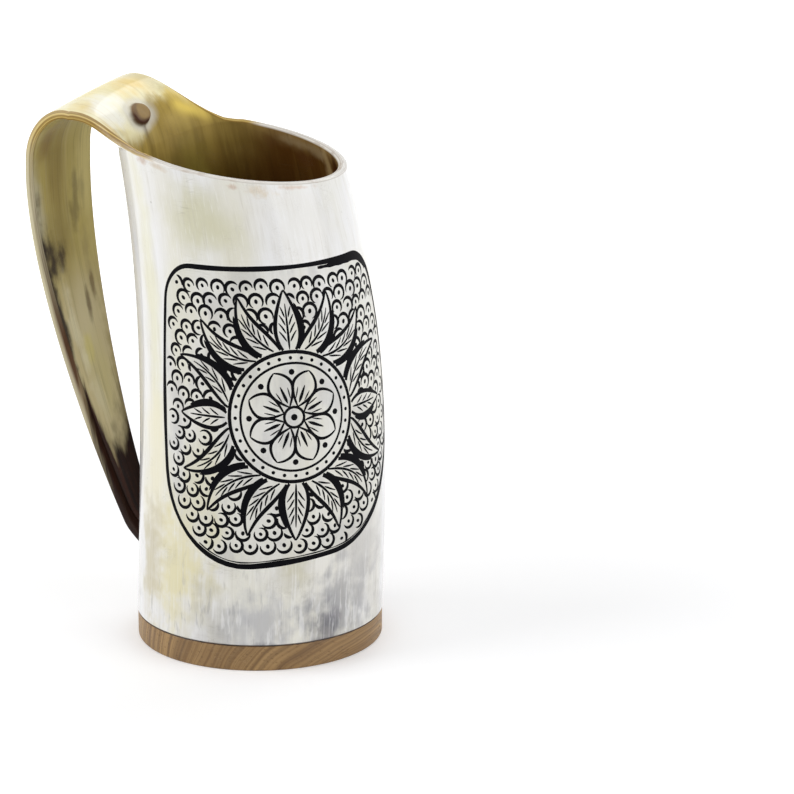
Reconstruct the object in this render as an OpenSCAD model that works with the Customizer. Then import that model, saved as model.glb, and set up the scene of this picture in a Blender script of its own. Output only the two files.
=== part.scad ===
// Horn drinking cup: a cow-horn body whose sawn tip is bent over into a strap handle,
// closed at the bottom with a stepped wooden disc.
// Origin: centre of the underside of the wooden base. +Z up, handle toward -X. Millimetres.
// Every surface of the horn comes from one set of functions: a body cut into level rings,
// and a strap that follows a chain of three curves from the rim to the foot of the handle.

/* [Horn body] */
// height of the middle of the rim above the table
rim_height = 161.4; // [140:0.2:180]
// outside radius of the horn where it meets the base
foot_radius = 40.2; // [34:0.1:46]
// outside radius of the horn at the rim
rim_radius = 35.6; // [30:0.1:42]
// thickness of the horn
horn_wall = 3; // [2:0.1:4.5]
// how late the horn narrows on the way up
taper_power = 2.5; // [1:0.1:4]
// sideways swell of the body away from the handle
body_bow = 2.2; // [0:0.1:5]
// sideways shift of the rim toward the handle
body_lean = 9.3; // [0:0.1:14]
// slope of the rim, rising toward the handle, in degrees
rim_slope = 9; // [0:0.5:15]
// turn of that slope away from the handle plane, in degrees
rim_turn = 8; // [-15:0.5:15]

/* [Strap handle, path] */
// how far below the rim the middle of the strap leaves the wall
root_drop = 3.9; // [1:0.1:10]
// half the angle of wall that the strap flares out to, in degrees
root_flare = 68; // [50:1:75]
// size of the flare between strap edge and rim
root_fillet = 17; // [8:0.5:22]
// length over which the round wall flattens into the strap
flatten_length = 21; // [10:0.5:30]
// length over which the strap blends into the body rows
seam_length = 12; // [3:0.5:18]
// highest point of the strap underside, outward from where it leaves the wall
top_out = 12.7; // [8:0.1:18]
// highest point of the strap underside, above the rim
top_rise = 10.8; // [6:0.1:18]
// widest point of the strap underside, outward from where it leaves the wall
side_out = 27.9; // [18:0.1:36]
// widest point of the strap underside, below the rim
side_drop = 8.6; // [4:0.1:22]
// gap between the wall and the path of the strap at its lower end
foot_stand = 0.48; // [0.4:0.05:4]
// lower end of the strap, above the wooden disc
foot_rise = 15.7; // [8:0.1:32]
// pull of the curve on leaving the wall
root_pull = 3.5; // [2:0.5:10]
// pull of the curve on reaching the top
top_pull_in = 9; // [3:0.5:12]
// pull of the curve on leaving the top
top_pull_out = 5.5; // [4:0.5:14]
// pull of the curve on reaching the widest point
side_pull_in = 12; // [6:0.5:18]
// pull of the curve on leaving the widest point, downward
side_pull_out = 43; // [25:1:55]
// pull of the curve on leaving the widest point, inward
side_pull_turn = -2; // [-4:0.1:4]
// pull of the curve on reaching the foot, upward
foot_pull_up = 20; // [12:1:34]
// pull of the curve on reaching the foot, outward
foot_pull_out = 10; // [5:0.5:18]

/* [Strap handle, section] */
// half the strap width at the wall
half_root = 24; // [18:0.5:28]
// half the strap width at the top
half_top = 23; // [16:0.5:26]
// half the strap width at the widest point
half_side = 18; // [14:0.5:25]
// pull on half the strap width below the widest point
half_upper = 17; // [12:0.5:22]
// pull on half the strap width above the foot
half_lower = 5.4; // [4:0.1:12]
// half the strap width at the foot
half_foot = 6; // [4:0.5:10]
// strap thickness pull above the foot
strap_lower = 4.6; // [3:0.1:6]
// strap thickness at the foot
strap_foot = 3.6; // [2:0.1:5]
// rise of the rear edge over the front edge at the wall, as a share of the width
roll_root_share = 0.02; // [0:0.01:0.1]
// the same between wall and top
roll_rise_share = 0.08; // [0:0.01:0.12]
// the same at the top
roll_top_share = 0.08; // [0:0.01:0.12]
// turn of the fold line on the way up, as a share of the width
sweep_rise_share = 0.08; // [0:0.01:0.15]
// turn of the fold line at the top, as a share of the width
sweep_top_share = 0.08; // [0:0.01:0.2]
// crown across the top of the strap, as a share of the rim roundness
crown_share = 0.08; // [0:0.01:0.4]
// part of the last curve over which the foot is ground to the wall
bevel_share = 0.06; // [0.03:0.01:0.12]
// part of the last curve over which the foot settles on the wall
land_share = 0.12; // [0.06:0.01:0.2]

/* [Core pit] */
// radius of the pit left by the core of the horn at the root of the strap
pit_radius = 2.9; // [1.5:0.1:4]
// depth of that pit below the middle of the horn skin around it
pit_depth = 1.3; // [0.5:0.1:2]
// how far along the first curve the pit sits
pit_share = 0.49; // [0.2:0.01:0.8]
// how far the pit sits toward the rear edge, as a share of half the strap width
pit_side_share = 0.14; // [-0.3:0.01:0.3]

/* [Wooden base] */
// height of the visible wooden disc
base_height = 8.3; // [5:0.1:14]
// how far the wooden disc stays inside the horn around it
base_step = 0.2; // [0:0.05:1]
// bevel around the lower edge of the disc
base_bevel = 0.7; // [0.2:0.1:2]
// height of the spigot that enters the horn
spigot_height = 6; // [3:0.5:12]
// thickness of horn left around the seat bored for the spigot
seat_wall = 2.3; // [1.5:0.1:4]
// thickness of the bond line under the horn and above the spigot
bond_thickness = 0.4; // [0.2:0.05:0.8]
// thickness of the bond sleeve around the spigot
sleeve_thickness = 0.3; // [0.1:0.05:0.6]
// play between the bond and the parts it joins
bond_play = 0.02; // [0.01:0.01:0.05]

/* [Inner seal] */
// thickness of the clear coat over the wood inside the cup
seal_thickness = 0.8; // [0.4:0.1:2]
// height of its fillet against the horn
seal_fillet = 2.4; // [1:0.1:5]
// play between the coat and the horn
seal_play = 0.15; // [0.1:0.05:0.3]

/* [Engraved panel] */
// middle of the panel around the body, in degrees from +X
panel_turn = 314; // [290:1:330]
// half the width of the panel, measured around the body
panel_half_width = 46.2; // [30:0.1:55]
// half the height of the panel
panel_half_height = 47.4; // [30:0.1:55]
// height of the middle of the panel
panel_height = 84.3; // [70:0.1:100]
// radius of the two upper corners of the border line
upper_corner = 11; // [5:0.5:30]
// radius of the two lower corners of the border line
lower_corner = 30; // [5:0.5:40]
// rise of the lower side of the border from left to right, as a share of the width
lower_rise_share = 0.1; // [0:0.01:0.15]
// how much narrower the border is at its top and foot than in the middle, as a share
panel_bow_share = 0.12; // [0:0.01:0.25]
// width of the border line
border_width = 1.8; // [0.8:0.1:3]
// radius of the round field in the middle of the panel
roundel_radius = 21; // [12:0.5:28]
// width of the line around the round field
roundel_line = 1.2; // [0.6:0.1:2]
// thickness of the dark line fill
ink_thickness = 0.12; // [0.05:0.01:0.3]
// play between the line fill and the horn
ink_play = 0.02; // [0.01:0.01:0.05]

/* [Colours] */
// polished horn
horn_colour = [0.86, 0.83, 0.74];
// hardwood base
wood_colour = [0.55, 0.38, 0.22];
// bond line
bond_colour = [0.16, 0.11, 0.07];
// clear coat
seal_colour = [0.62, 0.5, 0.3];
// black line fill
ink_colour = [0.03, 0.03, 0.03];

/* [Hidden] */
$fn = 128;
cut_over = 1;
strap_columns = 18;
body_columns = 42;
body_rows = 12;
root_rows = [0.01, 0.03, 0.06, 0.1, 0.16, 0.23, 0.31, 0.4, 0.5, 0.6, 0.7, 0.8, 0.9];
side_rows = 9;
foot_rows = 16;
panel_stations = 30;
corner_stations = 8;
roundel_stations = 64;
pad_columns = 6;

columns = strap_columns + body_columns;
horn_foot = base_height + bond_thickness;
spigot_top = base_height + spigot_height;
seat_top = spigot_top + bond_thickness;
base_radius = foot_radius - base_step;
seat_radius = foot_radius - seat_wall;
root_height = rim_height - root_drop;
foot_height = base_height + foot_rise;
root_radius = body_r(root_height);
flare_width = root_radius * root_flare * PI / 180;
root_start = [body_x(root_height) - root_radius, root_height];
root_dir = [wall_lean(root_height), 1] / norm([wall_lean(root_height), 1]);
crown = -crown_share / rim_radius;
foot_curl = -1 / foot_radius;
top_point = [root_start[0] - top_out, rim_height + top_rise];
side_point = [root_start[0] - side_out, rim_height - side_drop];
foot_point = [body_x(foot_height) - body_r(foot_height) - foot_stand, foot_height];

// One row per control point: x, z, half width, thickness, roll, curl across, sweep.
root_rise_point = root_start + root_dir * root_pull;
root_ctrl = row(root_start, half_root, horn_wall, roll_root_share, 0, 0);
rise_ctrl = row(root_rise_point, mix(half_root, half_top, 1 / 3), horn_wall,
    roll_rise_share, crown / 2, -sweep_rise_share);
near_top_ctrl = row(top_point + [top_pull_in, 0], mix(half_root, half_top, 2 / 3), horn_wall,
    roll_rise_share, crown, -sweep_top_share);
top_ctrl = row(top_point, half_top, horn_wall, roll_top_share, crown, -sweep_top_share);
past_top_ctrl = row(top_point - [top_pull_out, 0], mix(half_top, half_side, 1 / 3), horn_wall,
    roll_top_share / 2, crown, -sweep_top_share);
near_side_ctrl = row(side_point + [0, side_pull_in], half_side, horn_wall, 0, 0, 0);
side_ctrl = row(side_point, half_side, horn_wall, 0, 0, 0);
past_side_ctrl = row(side_point + [side_pull_turn, -side_pull_out], half_upper,
    horn_wall, 0, 0, 0);
near_foot_ctrl = row(foot_point + [-foot_pull_out, foot_pull_up], half_lower,
    strap_lower, 0, foot_curl / 2, 0);
foot_ctrl = row(foot_point, half_foot, strap_foot, 0, foot_curl, 0);
strap_curves = [
    [root_ctrl, rise_ctrl, near_top_ctrl, top_ctrl],
    [top_ctrl, past_top_ctrl, near_side_ctrl, side_ctrl],
    [side_ctrl, past_side_ctrl, near_foot_ctrl, foot_ctrl]
];
curve_count = len(strap_curves);
strap_rows = concat(
    root_rows,
    [for (i = [0 : side_rows - 1]) 1 + i / side_rows],
    [for (i = [0 : foot_rows]) 2 + i / foot_rows]
);

function mix(a, b, share) = a + (b - a) * share;
function smooth(t) = t * t * (3 - 2 * t);
function row(place, half, thick, roll, curl, sweep) =
    [place[0], place[1], half, thick, roll, curl, sweep];

// Body: level rings whose radius and centre depend on height.
function rise(z) = max(0, (z - base_height) / (rim_height - base_height));
function body_r(z) = foot_radius - (foot_radius - rim_radius) * pow(rise(z), taper_power);
function body_x(z) = 3 * body_bow * rise(z) - (3 * body_bow + body_lean) * pow(rise(z), 3);
function wall_lean(z) = (3 * body_bow - 3 * (3 * body_bow + body_lean) * pow(rise(z), 2)
    + (foot_radius - rim_radius) * taper_power * pow(rise(z), taper_power - 1))
    / (rim_height - base_height);
function rim_line(a) = rim_height - rim_radius * tan(rim_slope) * cos(a - rim_turn);
function body_point(a, z, inset) =
    [body_x(z) + (body_r(z) - inset) * cos(a), (body_r(z) - inset) * sin(a), z];

// Strap: a chain of curves in the handle plane, swept with a section that uncurls.
function curve(c, t) = c[0] * pow(1 - t, 3) + c[1] * 3 * pow(1 - t, 2) * t
    + c[2] * 3 * (1 - t) * pow(t, 2) + c[3] * pow(t, 3);
function curve_slope(c, t) = (c[1] - c[0]) * 3 * pow(1 - t, 2)
    + (c[2] - c[1]) * 6 * (1 - t) * t + (c[3] - c[2]) * 3 * pow(t, 2);
function piece_at(u) = min(floor(u), curve_count - 1);
function on_path(u) = curve(strap_curves[piece_at(u)], u - piece_at(u));
function path_dir(u) = let (s = curve_slope(strap_curves[piece_at(u)], u - piece_at(u)))
    [s[0], s[1]] / norm([s[0], s[1]]);
function from_root(u) = u < 1
    ? norm([on_path(u)[0], on_path(u)[1]] - root_start)
    : root_fillet + flatten_length + seam_length;
function flare_at(d) = d < root_fillet ? 1 - sqrt(1 - pow(1 - d / root_fillet, 2)) : 0;
function uncurl_at(d) = d < flatten_length ? (1 - smooth(d / flatten_length)) / root_radius : 0;
function seam_at(d) = d < seam_length ? pow(1 - d / seam_length, 2) : 0;

// share runs from 1 at the rear edge to -1 at the front edge; skin 0 faces the body.
function section_point(q, dir, half, curl, share, skin) = let (
        w = share * half,
        depth_in = skin * q[3],
        flat = abs(curl * half) < 0.0001,
        turn = curl * w * 180 / PI,
        y = flat ? w : sin(turn) * (1 / curl - depth_in),
        depth = flat ? depth_in : 1 / curl - cos(turn) * (1 / curl - depth_in)
    ) [q[0] + dir[1] * depth + q[6] * y, y, q[1] - dir[0] * depth + q[4] * y];
function free_strap(share, u, skin) = let (
        q = on_path(u),
        d = from_root(u),
        half = mix(q[2], flare_width, flare_at(d))
    ) section_point(q, path_dir(u), half, q[5] + uncurl_at(d), share, skin);
function root_line(share) = mix(root_height,
    rim_line(180 - sign(share) * root_flare), smooth(abs(share)));
function seam_gap(share, skin) =
    body_point(180 - share * root_flare, root_line(share), skin * horn_wall)
    - free_strap(share, 0, skin);
function end_u(skin) = skin == 0 ? curve_count - bevel_share : curve_count;
function wall_point(y, z, gap) =
    [body_x(z) - sqrt(pow(body_r(z) + gap, 2) - y * y), y, z];
function foot_gap(share, skin) = let (e = free_strap(share, end_u(skin), skin))
    wall_point(e[1], e[2], bond_thickness) - e;
function land_at(u) = u > curve_count - land_share
    ? smooth((u - curve_count + land_share) / land_share) : 0;
function strap_point(share, u, skin) = let (
        v = u * end_u(skin) / curve_count,
        near_root = seam_at(from_root(v)),
        near_foot = land_at(u)
    ) free_strap(share, v, skin)
    + (near_root > 0 ? seam_gap(share, skin) * near_root : [0, 0, 0])
    + (near_foot > 0 ? foot_gap(share, skin) * near_foot : [0, 0, 0]);

// Grid of the horn: body rings first, then the strap rows, outer skin before inner skin.
function share_of(j) = 1 - 2 * j / strap_columns;
function angle_of(j) = j <= strap_columns
    ? 180 - root_flare * share_of(j)
    : 180 + root_flare + (360 - 2 * root_flare) * (j - strap_columns) / body_columns;
function top_line(j) = j <= strap_columns ? root_line(share_of(j)) : rim_line(angle_of(j));
function body_grid(inset) = [
    for (i = [0 : body_rows])
        for (j = [0 : columns - 1])
            body_point(angle_of(j), mix(horn_foot, top_line(j), i / body_rows), inset)
];
function strap_grid(skin) = [
    for (u = strap_rows)
        for (j = [0 : strap_columns])
            strap_point(share_of(j), u, skin)
];
body_size = (body_rows + 1) * columns;
strap_size = len(strap_rows) * (strap_columns + 1);
last_row = len(strap_rows);
function body_id(skin, i, j) = skin * body_size + i * columns + (j % columns);
function strap_id(skin, k, j) = k == 0
    ? body_id(skin, body_rows, j)
    : 2 * body_size + skin * strap_size + (k - 1) * (strap_columns + 1) + j;
function quad(a, b, c, d) = [[a, b, c], [a, c, d]];
function flat_list(lists) = [for (one = lists) for (item = one) item];

horn_points = concat(body_grid(0), body_grid(horn_wall), strap_grid(0), strap_grid(1));
horn_faces = flat_list(concat(
    [for (i = [0 : body_rows - 1]) for (j = [0 : columns - 1])
        quad(body_id(0, i, j), body_id(0, i + 1, j),
            body_id(0, i + 1, j + 1), body_id(0, i, j + 1))],
    [for (i = [0 : body_rows - 1]) for (j = [0 : columns - 1])
        quad(body_id(1, i, j), body_id(1, i, j + 1),
            body_id(1, i + 1, j + 1), body_id(1, i + 1, j))],
    [for (j = [0 : columns - 1])
        quad(body_id(0, 0, j), body_id(0, 0, j + 1), body_id(1, 0, j + 1), body_id(1, 0, j))],
    [for (j = [strap_columns : columns - 1])
        quad(body_id(0, body_rows, j), body_id(1, body_rows, j),
            body_id(1, body_rows, j + 1), body_id(0, body_rows, j + 1))],
    [for (k = [0 : last_row - 1]) for (j = [0 : strap_columns - 1])
        quad(strap_id(0, k, j), strap_id(0, k + 1, j),
            strap_id(0, k + 1, j + 1), strap_id(0, k, j + 1))],
    [for (k = [0 : last_row - 1]) for (j = [0 : strap_columns - 1])
        quad(strap_id(1, k, j), strap_id(1, k, j + 1),
            strap_id(1, k + 1, j + 1), strap_id(1, k + 1, j))],
    [for (k = [0 : last_row - 1])
        quad(strap_id(0, k + 1, 0), strap_id(0, k, 0), strap_id(1, k, 0), strap_id(1, k + 1, 0))],
    [for (k = [0 : last_row - 1])
        quad(strap_id(0, k, strap_columns), strap_id(0, k + 1, strap_columns),
            strap_id(1, k + 1, strap_columns), strap_id(1, k, strap_columns))],
    [for (j = [0 : strap_columns - 1])
        quad(strap_id(0, last_row, j + 1), strap_id(0, last_row, j),
            strap_id(1, last_row, j), strap_id(1, last_row, j + 1))]
));

// Closed tubes and slabs that lie on the body, from rings of four corners.
function ring_faces(count, closed) = flat_list(concat(
    [for (i = [0 : count - (closed ? 1 : 2)]) for (k = [0 : 3])
        quad(i * 4 + k, i * 4 + (k + 1) % 4,
            ((i + 1) % count) * 4 + (k + 1) % 4, ((i + 1) % count) * 4 + k)],
    closed ? [] : [
        quad(3, 2, 1, 0),
        quad((count - 1) * 4, (count - 1) * 4 + 1, (count - 1) * 4 + 2, (count - 1) * 4 + 3)]
));
// A place on the panel: across is measured around the body, up is measured along it.
function on_panel(place, gap) = body_point(panel_turn + place[0] / foot_radius * 180 / PI,
    panel_height + place[1], -gap);
// The border is a rounded box that is drawn in a little above and below, its lower side rising.
function drawn_in(place) = let (
        up = place[1] / panel_half_height,
        x = place[0] * (1 - panel_bow_share * up * up)
    ) [x, place[1] + lower_rise_share * (1 - up) / 2 * place[0]];
function line_ring(place, out, width) = [
    on_panel(place - out * width / 2, ink_play),
    on_panel(place - out * width / 2, ink_play + ink_thickness),
    on_panel(place + out * width / 2, ink_play + ink_thickness),
    on_panel(place + out * width / 2, ink_play)
];
module closed_line(places, outs, width) {
    polyhedron(
        points = flat_list([for (i = [0 : len(places) - 1])
            line_ring(places[i], outs[i], width)]),
        faces = ring_faces(len(places), true)
    );
}
corner_signs = [[1, 1], [-1, 1], [-1, -1], [1, -1]];
corner_radii = [upper_corner, upper_corner, lower_corner, lower_corner];
function border_out(c, i) = let (a = 90 * c + 90 * i / corner_stations) [cos(a), sin(a)];
function side_place(c, t) = let (
        a = corner_place(c, corner_stations),
        b = corner_place((c + 1) % 4, 0)
    ) mix(a, b, t);
function corner_place(c, i) =
    [corner_signs[c][0] * (panel_half_width - corner_radii[c]),
        corner_signs[c][1] * (panel_half_height - corner_radii[c])]
    + border_out(c, i) * corner_radii[c];
border_places = flat_list([for (c = [0 : 3]) concat(
    [for (i = [0 : corner_stations]) corner_place(c, i)],
    [for (i = [1 : panel_stations - 1]) side_place(c, i / panel_stations)])]);
border_outs = flat_list([for (c = [0 : 3]) concat(
    [for (i = [0 : corner_stations]) border_out(c, i)],
    [for (i = [1 : panel_stations - 1]) border_out(c, corner_stations)])]);
roundel_outs = [for (i = [0 : roundel_stations - 1])
    let (a = 360 * i / roundel_stations) [cos(a), sin(a)]];

// Horn body and strap handle: one piece of horn, bored out below for the base.
module horn_body() {
    color(horn_colour)
    difference() {
        polyhedron(points = horn_points, faces = horn_faces);
        translate([0, 0, horn_foot - cut_over])
            cylinder(r = seat_radius, h = seat_top - horn_foot + cut_over);
        core_pit();
    }
}

// Round pit at the root of the strap, square to the skin that faces up and inward.
module core_pit() {
    place = strap_point(pit_side_share, pit_share, 1);
    dir = path_dir(pit_share);
    translate(place)
        rotate([0, atan2(dir[1], -dir[0]), 0])
            translate([0, 0, -pit_depth])
                cylinder(r = pit_radius, h = pit_depth + cut_over);
}

// Wooden base: a disc as wide as the horn with a spigot that enters its seat.
module wood_base() {
    color(wood_colour)
    union() {
        rotate_extrude()
            polygon([
                [0, 0],
                [base_radius - base_bevel, 0],
                [base_radius, base_bevel],
                [base_radius, base_height],
                [0, base_height]
            ]);
        translate([0, 0, base_height - base_bevel])
            cylinder(r = seat_radius - sleeve_thickness, h = spigot_height + base_bevel);
    }
}

// Bond line: a ring under the horn, a sleeve round the spigot and a lip over its edge.
module base_bond() {
    inner = seat_radius - sleeve_thickness + bond_play;
    lip = seat_radius - horn_wall;
    color(bond_colour)
    rotate_extrude()
        polygon([
            [inner, base_height + bond_play],
            [base_radius - bond_play, base_height + bond_play],
            [base_radius - bond_play, horn_foot - bond_play],
            [seat_radius - bond_play, horn_foot - bond_play],
            [seat_radius - bond_play, seat_top - bond_play],
            [lip, seat_top - bond_play],
            [lip, spigot_top + bond_play],
            [inner, spigot_top + bond_play]
        ]);
}

// Clear coat poured over the wood inside, drawn up a little against the horn.
module inner_seal() {
    edge = body_r(seat_top) - horn_wall - seal_play - body_x(seat_top + seal_fillet);
    lip = seat_radius - horn_wall;
    color(seal_colour)
    rotate_extrude()
        polygon([
            [0, spigot_top + bond_play],
            [lip - bond_play, spigot_top + bond_play],
            [lip - bond_play, seat_top],
            [edge, seat_top],
            [edge, seat_top + seal_fillet],
            [edge - seal_fillet / 3, seat_top + seal_thickness],
            [edge - seal_fillet, spigot_top + seal_thickness],
            [0, spigot_top + seal_thickness]
        ]);
}

// Bond pad between the ground foot of the strap and the wall.
module handle_bond() {
    low = strap_point(0, curve_count, 1)[2];
    high = strap_point(0, curve_count, 0)[2];
    spread = half_foot;
    color(bond_colour)
    polyhedron(
        points = flat_list([for (i = [0 : pad_columns]) let (y = spread * (2 * i / pad_columns - 1)) [
            wall_point(y, low, bond_play + bond_play),
            wall_point(y, high, bond_play + bond_play),
            wall_point(y, high, bond_thickness - bond_play),
            wall_point(y, low, bond_thickness - bond_play)
        ]]),
        faces = ring_faces(pad_columns + 1, false)
    );
}

// Black fill of the engraved border line and of the line around the round field.
module panel_ink() {
    color(ink_colour)
    union() {
        closed_line([for (place = border_places) drawn_in(place)], border_outs, border_width);
        closed_line(roundel_outs * roundel_radius, roundel_outs, roundel_line);
    }
}

horn_body();
wood_base();
base_bond();
inner_seal();
handle_bond();
panel_ink();
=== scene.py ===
# %% [markdown]
# A horn drinking cup. A length of cow horn is sawn open along its top, the long tongue
# that is left is steamed, bent over and glued back to the wall as a handle, and the wide
# end is closed with a stepped disc of wood. A panel is cut into the polished wall and
# filled with black.
# The CAD model is the fixed frame. This script dresses it: the horn gets the same shape
# with rounded edges and real engraved grooves, the wood and glue get soft corners, and
# every surface gets a material built from nodes.

# %% Load the frame
import bpy
import bmesh
import math
import numpy as np
from mathutils import Matrix, Vector
from mathutils.geometry import delaunay_2d_cdt


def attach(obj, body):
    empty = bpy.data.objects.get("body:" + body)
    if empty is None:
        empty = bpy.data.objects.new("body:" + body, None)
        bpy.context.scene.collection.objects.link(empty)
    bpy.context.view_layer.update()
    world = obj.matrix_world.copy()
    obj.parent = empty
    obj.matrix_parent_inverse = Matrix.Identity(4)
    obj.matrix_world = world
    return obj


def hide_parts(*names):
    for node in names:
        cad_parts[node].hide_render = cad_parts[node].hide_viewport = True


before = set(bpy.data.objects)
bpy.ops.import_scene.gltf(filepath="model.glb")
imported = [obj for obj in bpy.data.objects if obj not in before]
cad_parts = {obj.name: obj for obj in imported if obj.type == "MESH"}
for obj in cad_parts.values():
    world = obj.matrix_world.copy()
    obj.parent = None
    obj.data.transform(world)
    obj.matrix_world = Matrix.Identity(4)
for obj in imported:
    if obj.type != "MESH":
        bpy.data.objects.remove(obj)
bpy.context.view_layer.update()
MM = 0.001

# %% [markdown]
# Sizes of the horn. They are the named sizes of the CAD source, repeated here in
# millimetres because a scene can't read that source. The body is a stack of level rings:
# a radius and a sideways shift that both depend on height.

# %% Sizes of the body
FOOT_RADIUS, RIM_RADIUS, WALL = 40.2, 35.6, 3.0
BASE_HEIGHT, GLUE, RIM_HEIGHT = 8.3, 0.4, 161.4
TAPER, BOW, LEAN = 2.5, 2.2, 9.3
RIM_SLOPE, RIM_TURN = 9.0, 8.0
HORN_FOOT = BASE_HEIGHT + GLUE
SEAT_RADIUS, SEAT_TOP = FOOT_RADIUS - 2.3, BASE_HEIGHT + 6.0 + GLUE


def mix(a, b, share):
    return a + (b - a) * share


def smooth(t):
    t = np.clip(t, 0, 1)
    return t * t * (3 - 2 * t)


def rise(z):
    return np.maximum(0, (z - BASE_HEIGHT) / (RIM_HEIGHT - BASE_HEIGHT))


def body_r(z):
    return FOOT_RADIUS - (FOOT_RADIUS - RIM_RADIUS) * rise(z) ** TAPER


def body_x(z):
    return 3 * BOW * rise(z) - (3 * BOW + LEAN) * rise(z) ** 3


def rim_line(angle):
    slope = math.tan(math.radians(RIM_SLOPE))
    return RIM_HEIGHT - RIM_RADIUS * slope * np.cos(np.radians(angle - RIM_TURN))


def body_point(angle, z, inset):
    a, r = np.radians(angle), body_r(z) - inset
    return np.stack([body_x(z) + r * np.cos(a), r * np.sin(a), z + 0 * a], -1)


print("rim radius, mm:", body_r(RIM_HEIGHT), "rim height at the front:", round(float(rim_line(0)), 1))

# %% [markdown]
# The strap is a chain of three curves in the handle plane. Every control point carries a
# place, half a width, a thickness, a roll, a curl across the strap and a sweep of the
# fold line, so the section opens out from the round wall into a flat band and shrinks
# again to the tip.

# %% Path of the strap
ROOT_HEIGHT, FLARE, FILLET, UNCURL, SEAM = RIM_HEIGHT - 3.9, 68.0, 17.0, 21.0, 12.0
BEVEL, LAND, ENDS = 0.06, 0.12, 3
ROOT_HALF, TOP_HALF, SIDE_HALF, TIP_HALF = 24, 23, 18, 6
THICK, TIP_THICK, ROLL, SWEEP, FAR, FLATTEST = 3, 3.6, 0.08, -0.08, 99.0, 1e-7
ROOT_RADIUS = float(body_r(ROOT_HEIGHT))
FLARE_WIDTH = ROOT_RADIUS * math.radians(FLARE)
ROOT = np.array([float(body_x(ROOT_HEIGHT)) - ROOT_RADIUS, ROOT_HEIGHT])
LEAN_STEP = (body_x(ROOT_HEIGHT + 1) - body_r(ROOT_HEIGHT + 1)
             - body_x(ROOT_HEIGHT - 1) + body_r(ROOT_HEIGHT - 1)) / 2
ROOT_WAY = np.array([float(LEAN_STEP), 1.0]) / math.hypot(float(LEAN_STEP), 1.0)
CROWN, FOOT_CURL = -0.08 / RIM_RADIUS, -1 / FOOT_RADIUS
TOP = np.array([ROOT[0] - 12.7, RIM_HEIGHT + 10.8])
SIDE = np.array([ROOT[0] - 27.9, RIM_HEIGHT - 8.6])
FOOT_HEIGHT = BASE_HEIGHT + 15.7
FOOT = np.array([float(body_x(FOOT_HEIGHT) - body_r(FOOT_HEIGHT)) - 0.48, FOOT_HEIGHT])


def row(place, half, thick, roll, curl, sweep):
    return np.array([place[0], place[1], half, thick, roll, curl, sweep])


CURVES = [
    [row(ROOT, ROOT_HALF, THICK, 0.02, 0, 0),
     row(ROOT + ROOT_WAY * 3.5, 23.67, THICK, ROLL, CROWN / 2, SWEEP),
     row(TOP + [9, 0], 23.33, THICK, ROLL, CROWN, SWEEP),
     row(TOP, TOP_HALF, THICK, ROLL, CROWN, SWEEP)],
    [row(TOP, TOP_HALF, THICK, ROLL, CROWN, SWEEP),
     row(TOP - [5.5, 0], 21.33, THICK, ROLL / 2, CROWN, SWEEP),
     row(SIDE + [0, 12], SIDE_HALF, THICK, 0, 0, 0),
     row(SIDE, SIDE_HALF, THICK, 0, 0, 0)],
    [row(SIDE, SIDE_HALF, THICK, 0, 0, 0),
     row(SIDE + [-2, -43], 17, THICK, 0, 0, 0),
     row(FOOT + [-10, 20], 5.4, 4.6, 0, FOOT_CURL / 2, 0),
     row(FOOT, TIP_HALF, TIP_THICK, 0, FOOT_CURL, 0)],
]


def on_path(u):
    """The row of measures at u, from 0 at the root to ENDS at the tip, and the way there."""
    k = min(int(u), ENDS - 1)
    c, t = CURVES[k], u - k
    q = c[0] * (1 - t) ** 3 + c[1] * 3 * (1 - t) ** 2 * t + c[2] * 3 * (1 - t) * t * t + c[3] * t ** 3
    s = (c[1] - c[0]) * (1 - t) ** 2 + (c[2] - c[1]) * 2 * (1 - t) * t + (c[3] - c[2]) * t * t
    return q, s[:2] / np.hypot(*s[:2])


def from_root(u):
    """Straight way from the root, for the first curve only; past it, simply far."""
    return float(np.hypot(*(on_path(u)[0][:2] - ROOT))) if u < 1 else FAR


print("strap ends, mm:", np.round(ROOT, 1), np.round(FOOT, 1))

# %% Section of the strap
def half_width(u):
    q, d = on_path(u)[0][2], from_root(u)
    flare = 1 - math.sqrt(1 - (1 - d / FILLET) ** 2) if d < FILLET else 0
    return mix(q, FLARE_WIDTH, flare)


def free_strap(share, u, skin):
    """A point of the strap before its ends are fitted to the wall, skin 1 facing away."""
    q, way = on_path(u)
    d = from_root(u)
    curl = q[5] + (1 - smooth(d / UNCURL)) / ROOT_RADIUS
    curl = curl if abs(curl) > FLATTEST else FLATTEST
    w, sunk = share * half_width(u), skin * q[3]
    y = np.sin(curl * w) * (1 / curl - sunk)
    depth = 1 / curl - np.cos(curl * w) * (1 / curl - sunk)
    return np.stack([q[0] + way[1] * depth + q[6] * y, y, q[1] - way[0] * depth + q[4] * y], -1)


def root_line(share):
    return mix(ROOT_HEIGHT, rim_line(180 - np.sign(share) * FLARE), smooth(np.abs(share)))


def strap_point(share, u, skin):
    last = ENDS - (BEVEL if skin == 0 else 0)
    v = u * last / ENDS
    p = free_strap(share, v, skin)
    near_root = max(0, 1 - from_root(v) / SEAM) ** 2
    if near_root:
        wall = body_point(180 - share * FLARE, root_line(share), skin * WALL)
        p = p + (wall - free_strap(share, 0, skin)) * near_root
    near_foot = float(smooth((u - ENDS + LAND) / LAND))
    if near_foot:
        e = free_strap(share, last, skin)
        wall = e.copy()
        wall[..., 0] = body_x(e[..., 2]) - np.sqrt((body_r(e[..., 2]) + GLUE) ** 2 - e[..., 1] ** 2)
        p = p + (wall - e) * near_foot
    return p


PATH_PLACES = np.linspace(0, ENDS, 601)
steps = np.array([on_path(u)[0][:2] for u in PATH_PLACES])
PATH_LENGTH = np.concatenate([[0], np.cumsum(np.hypot(*np.diff(steps, axis=0).T))])


def path_length(u):
    return float(np.interp(u, PATH_PLACES, PATH_LENGTH))


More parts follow.
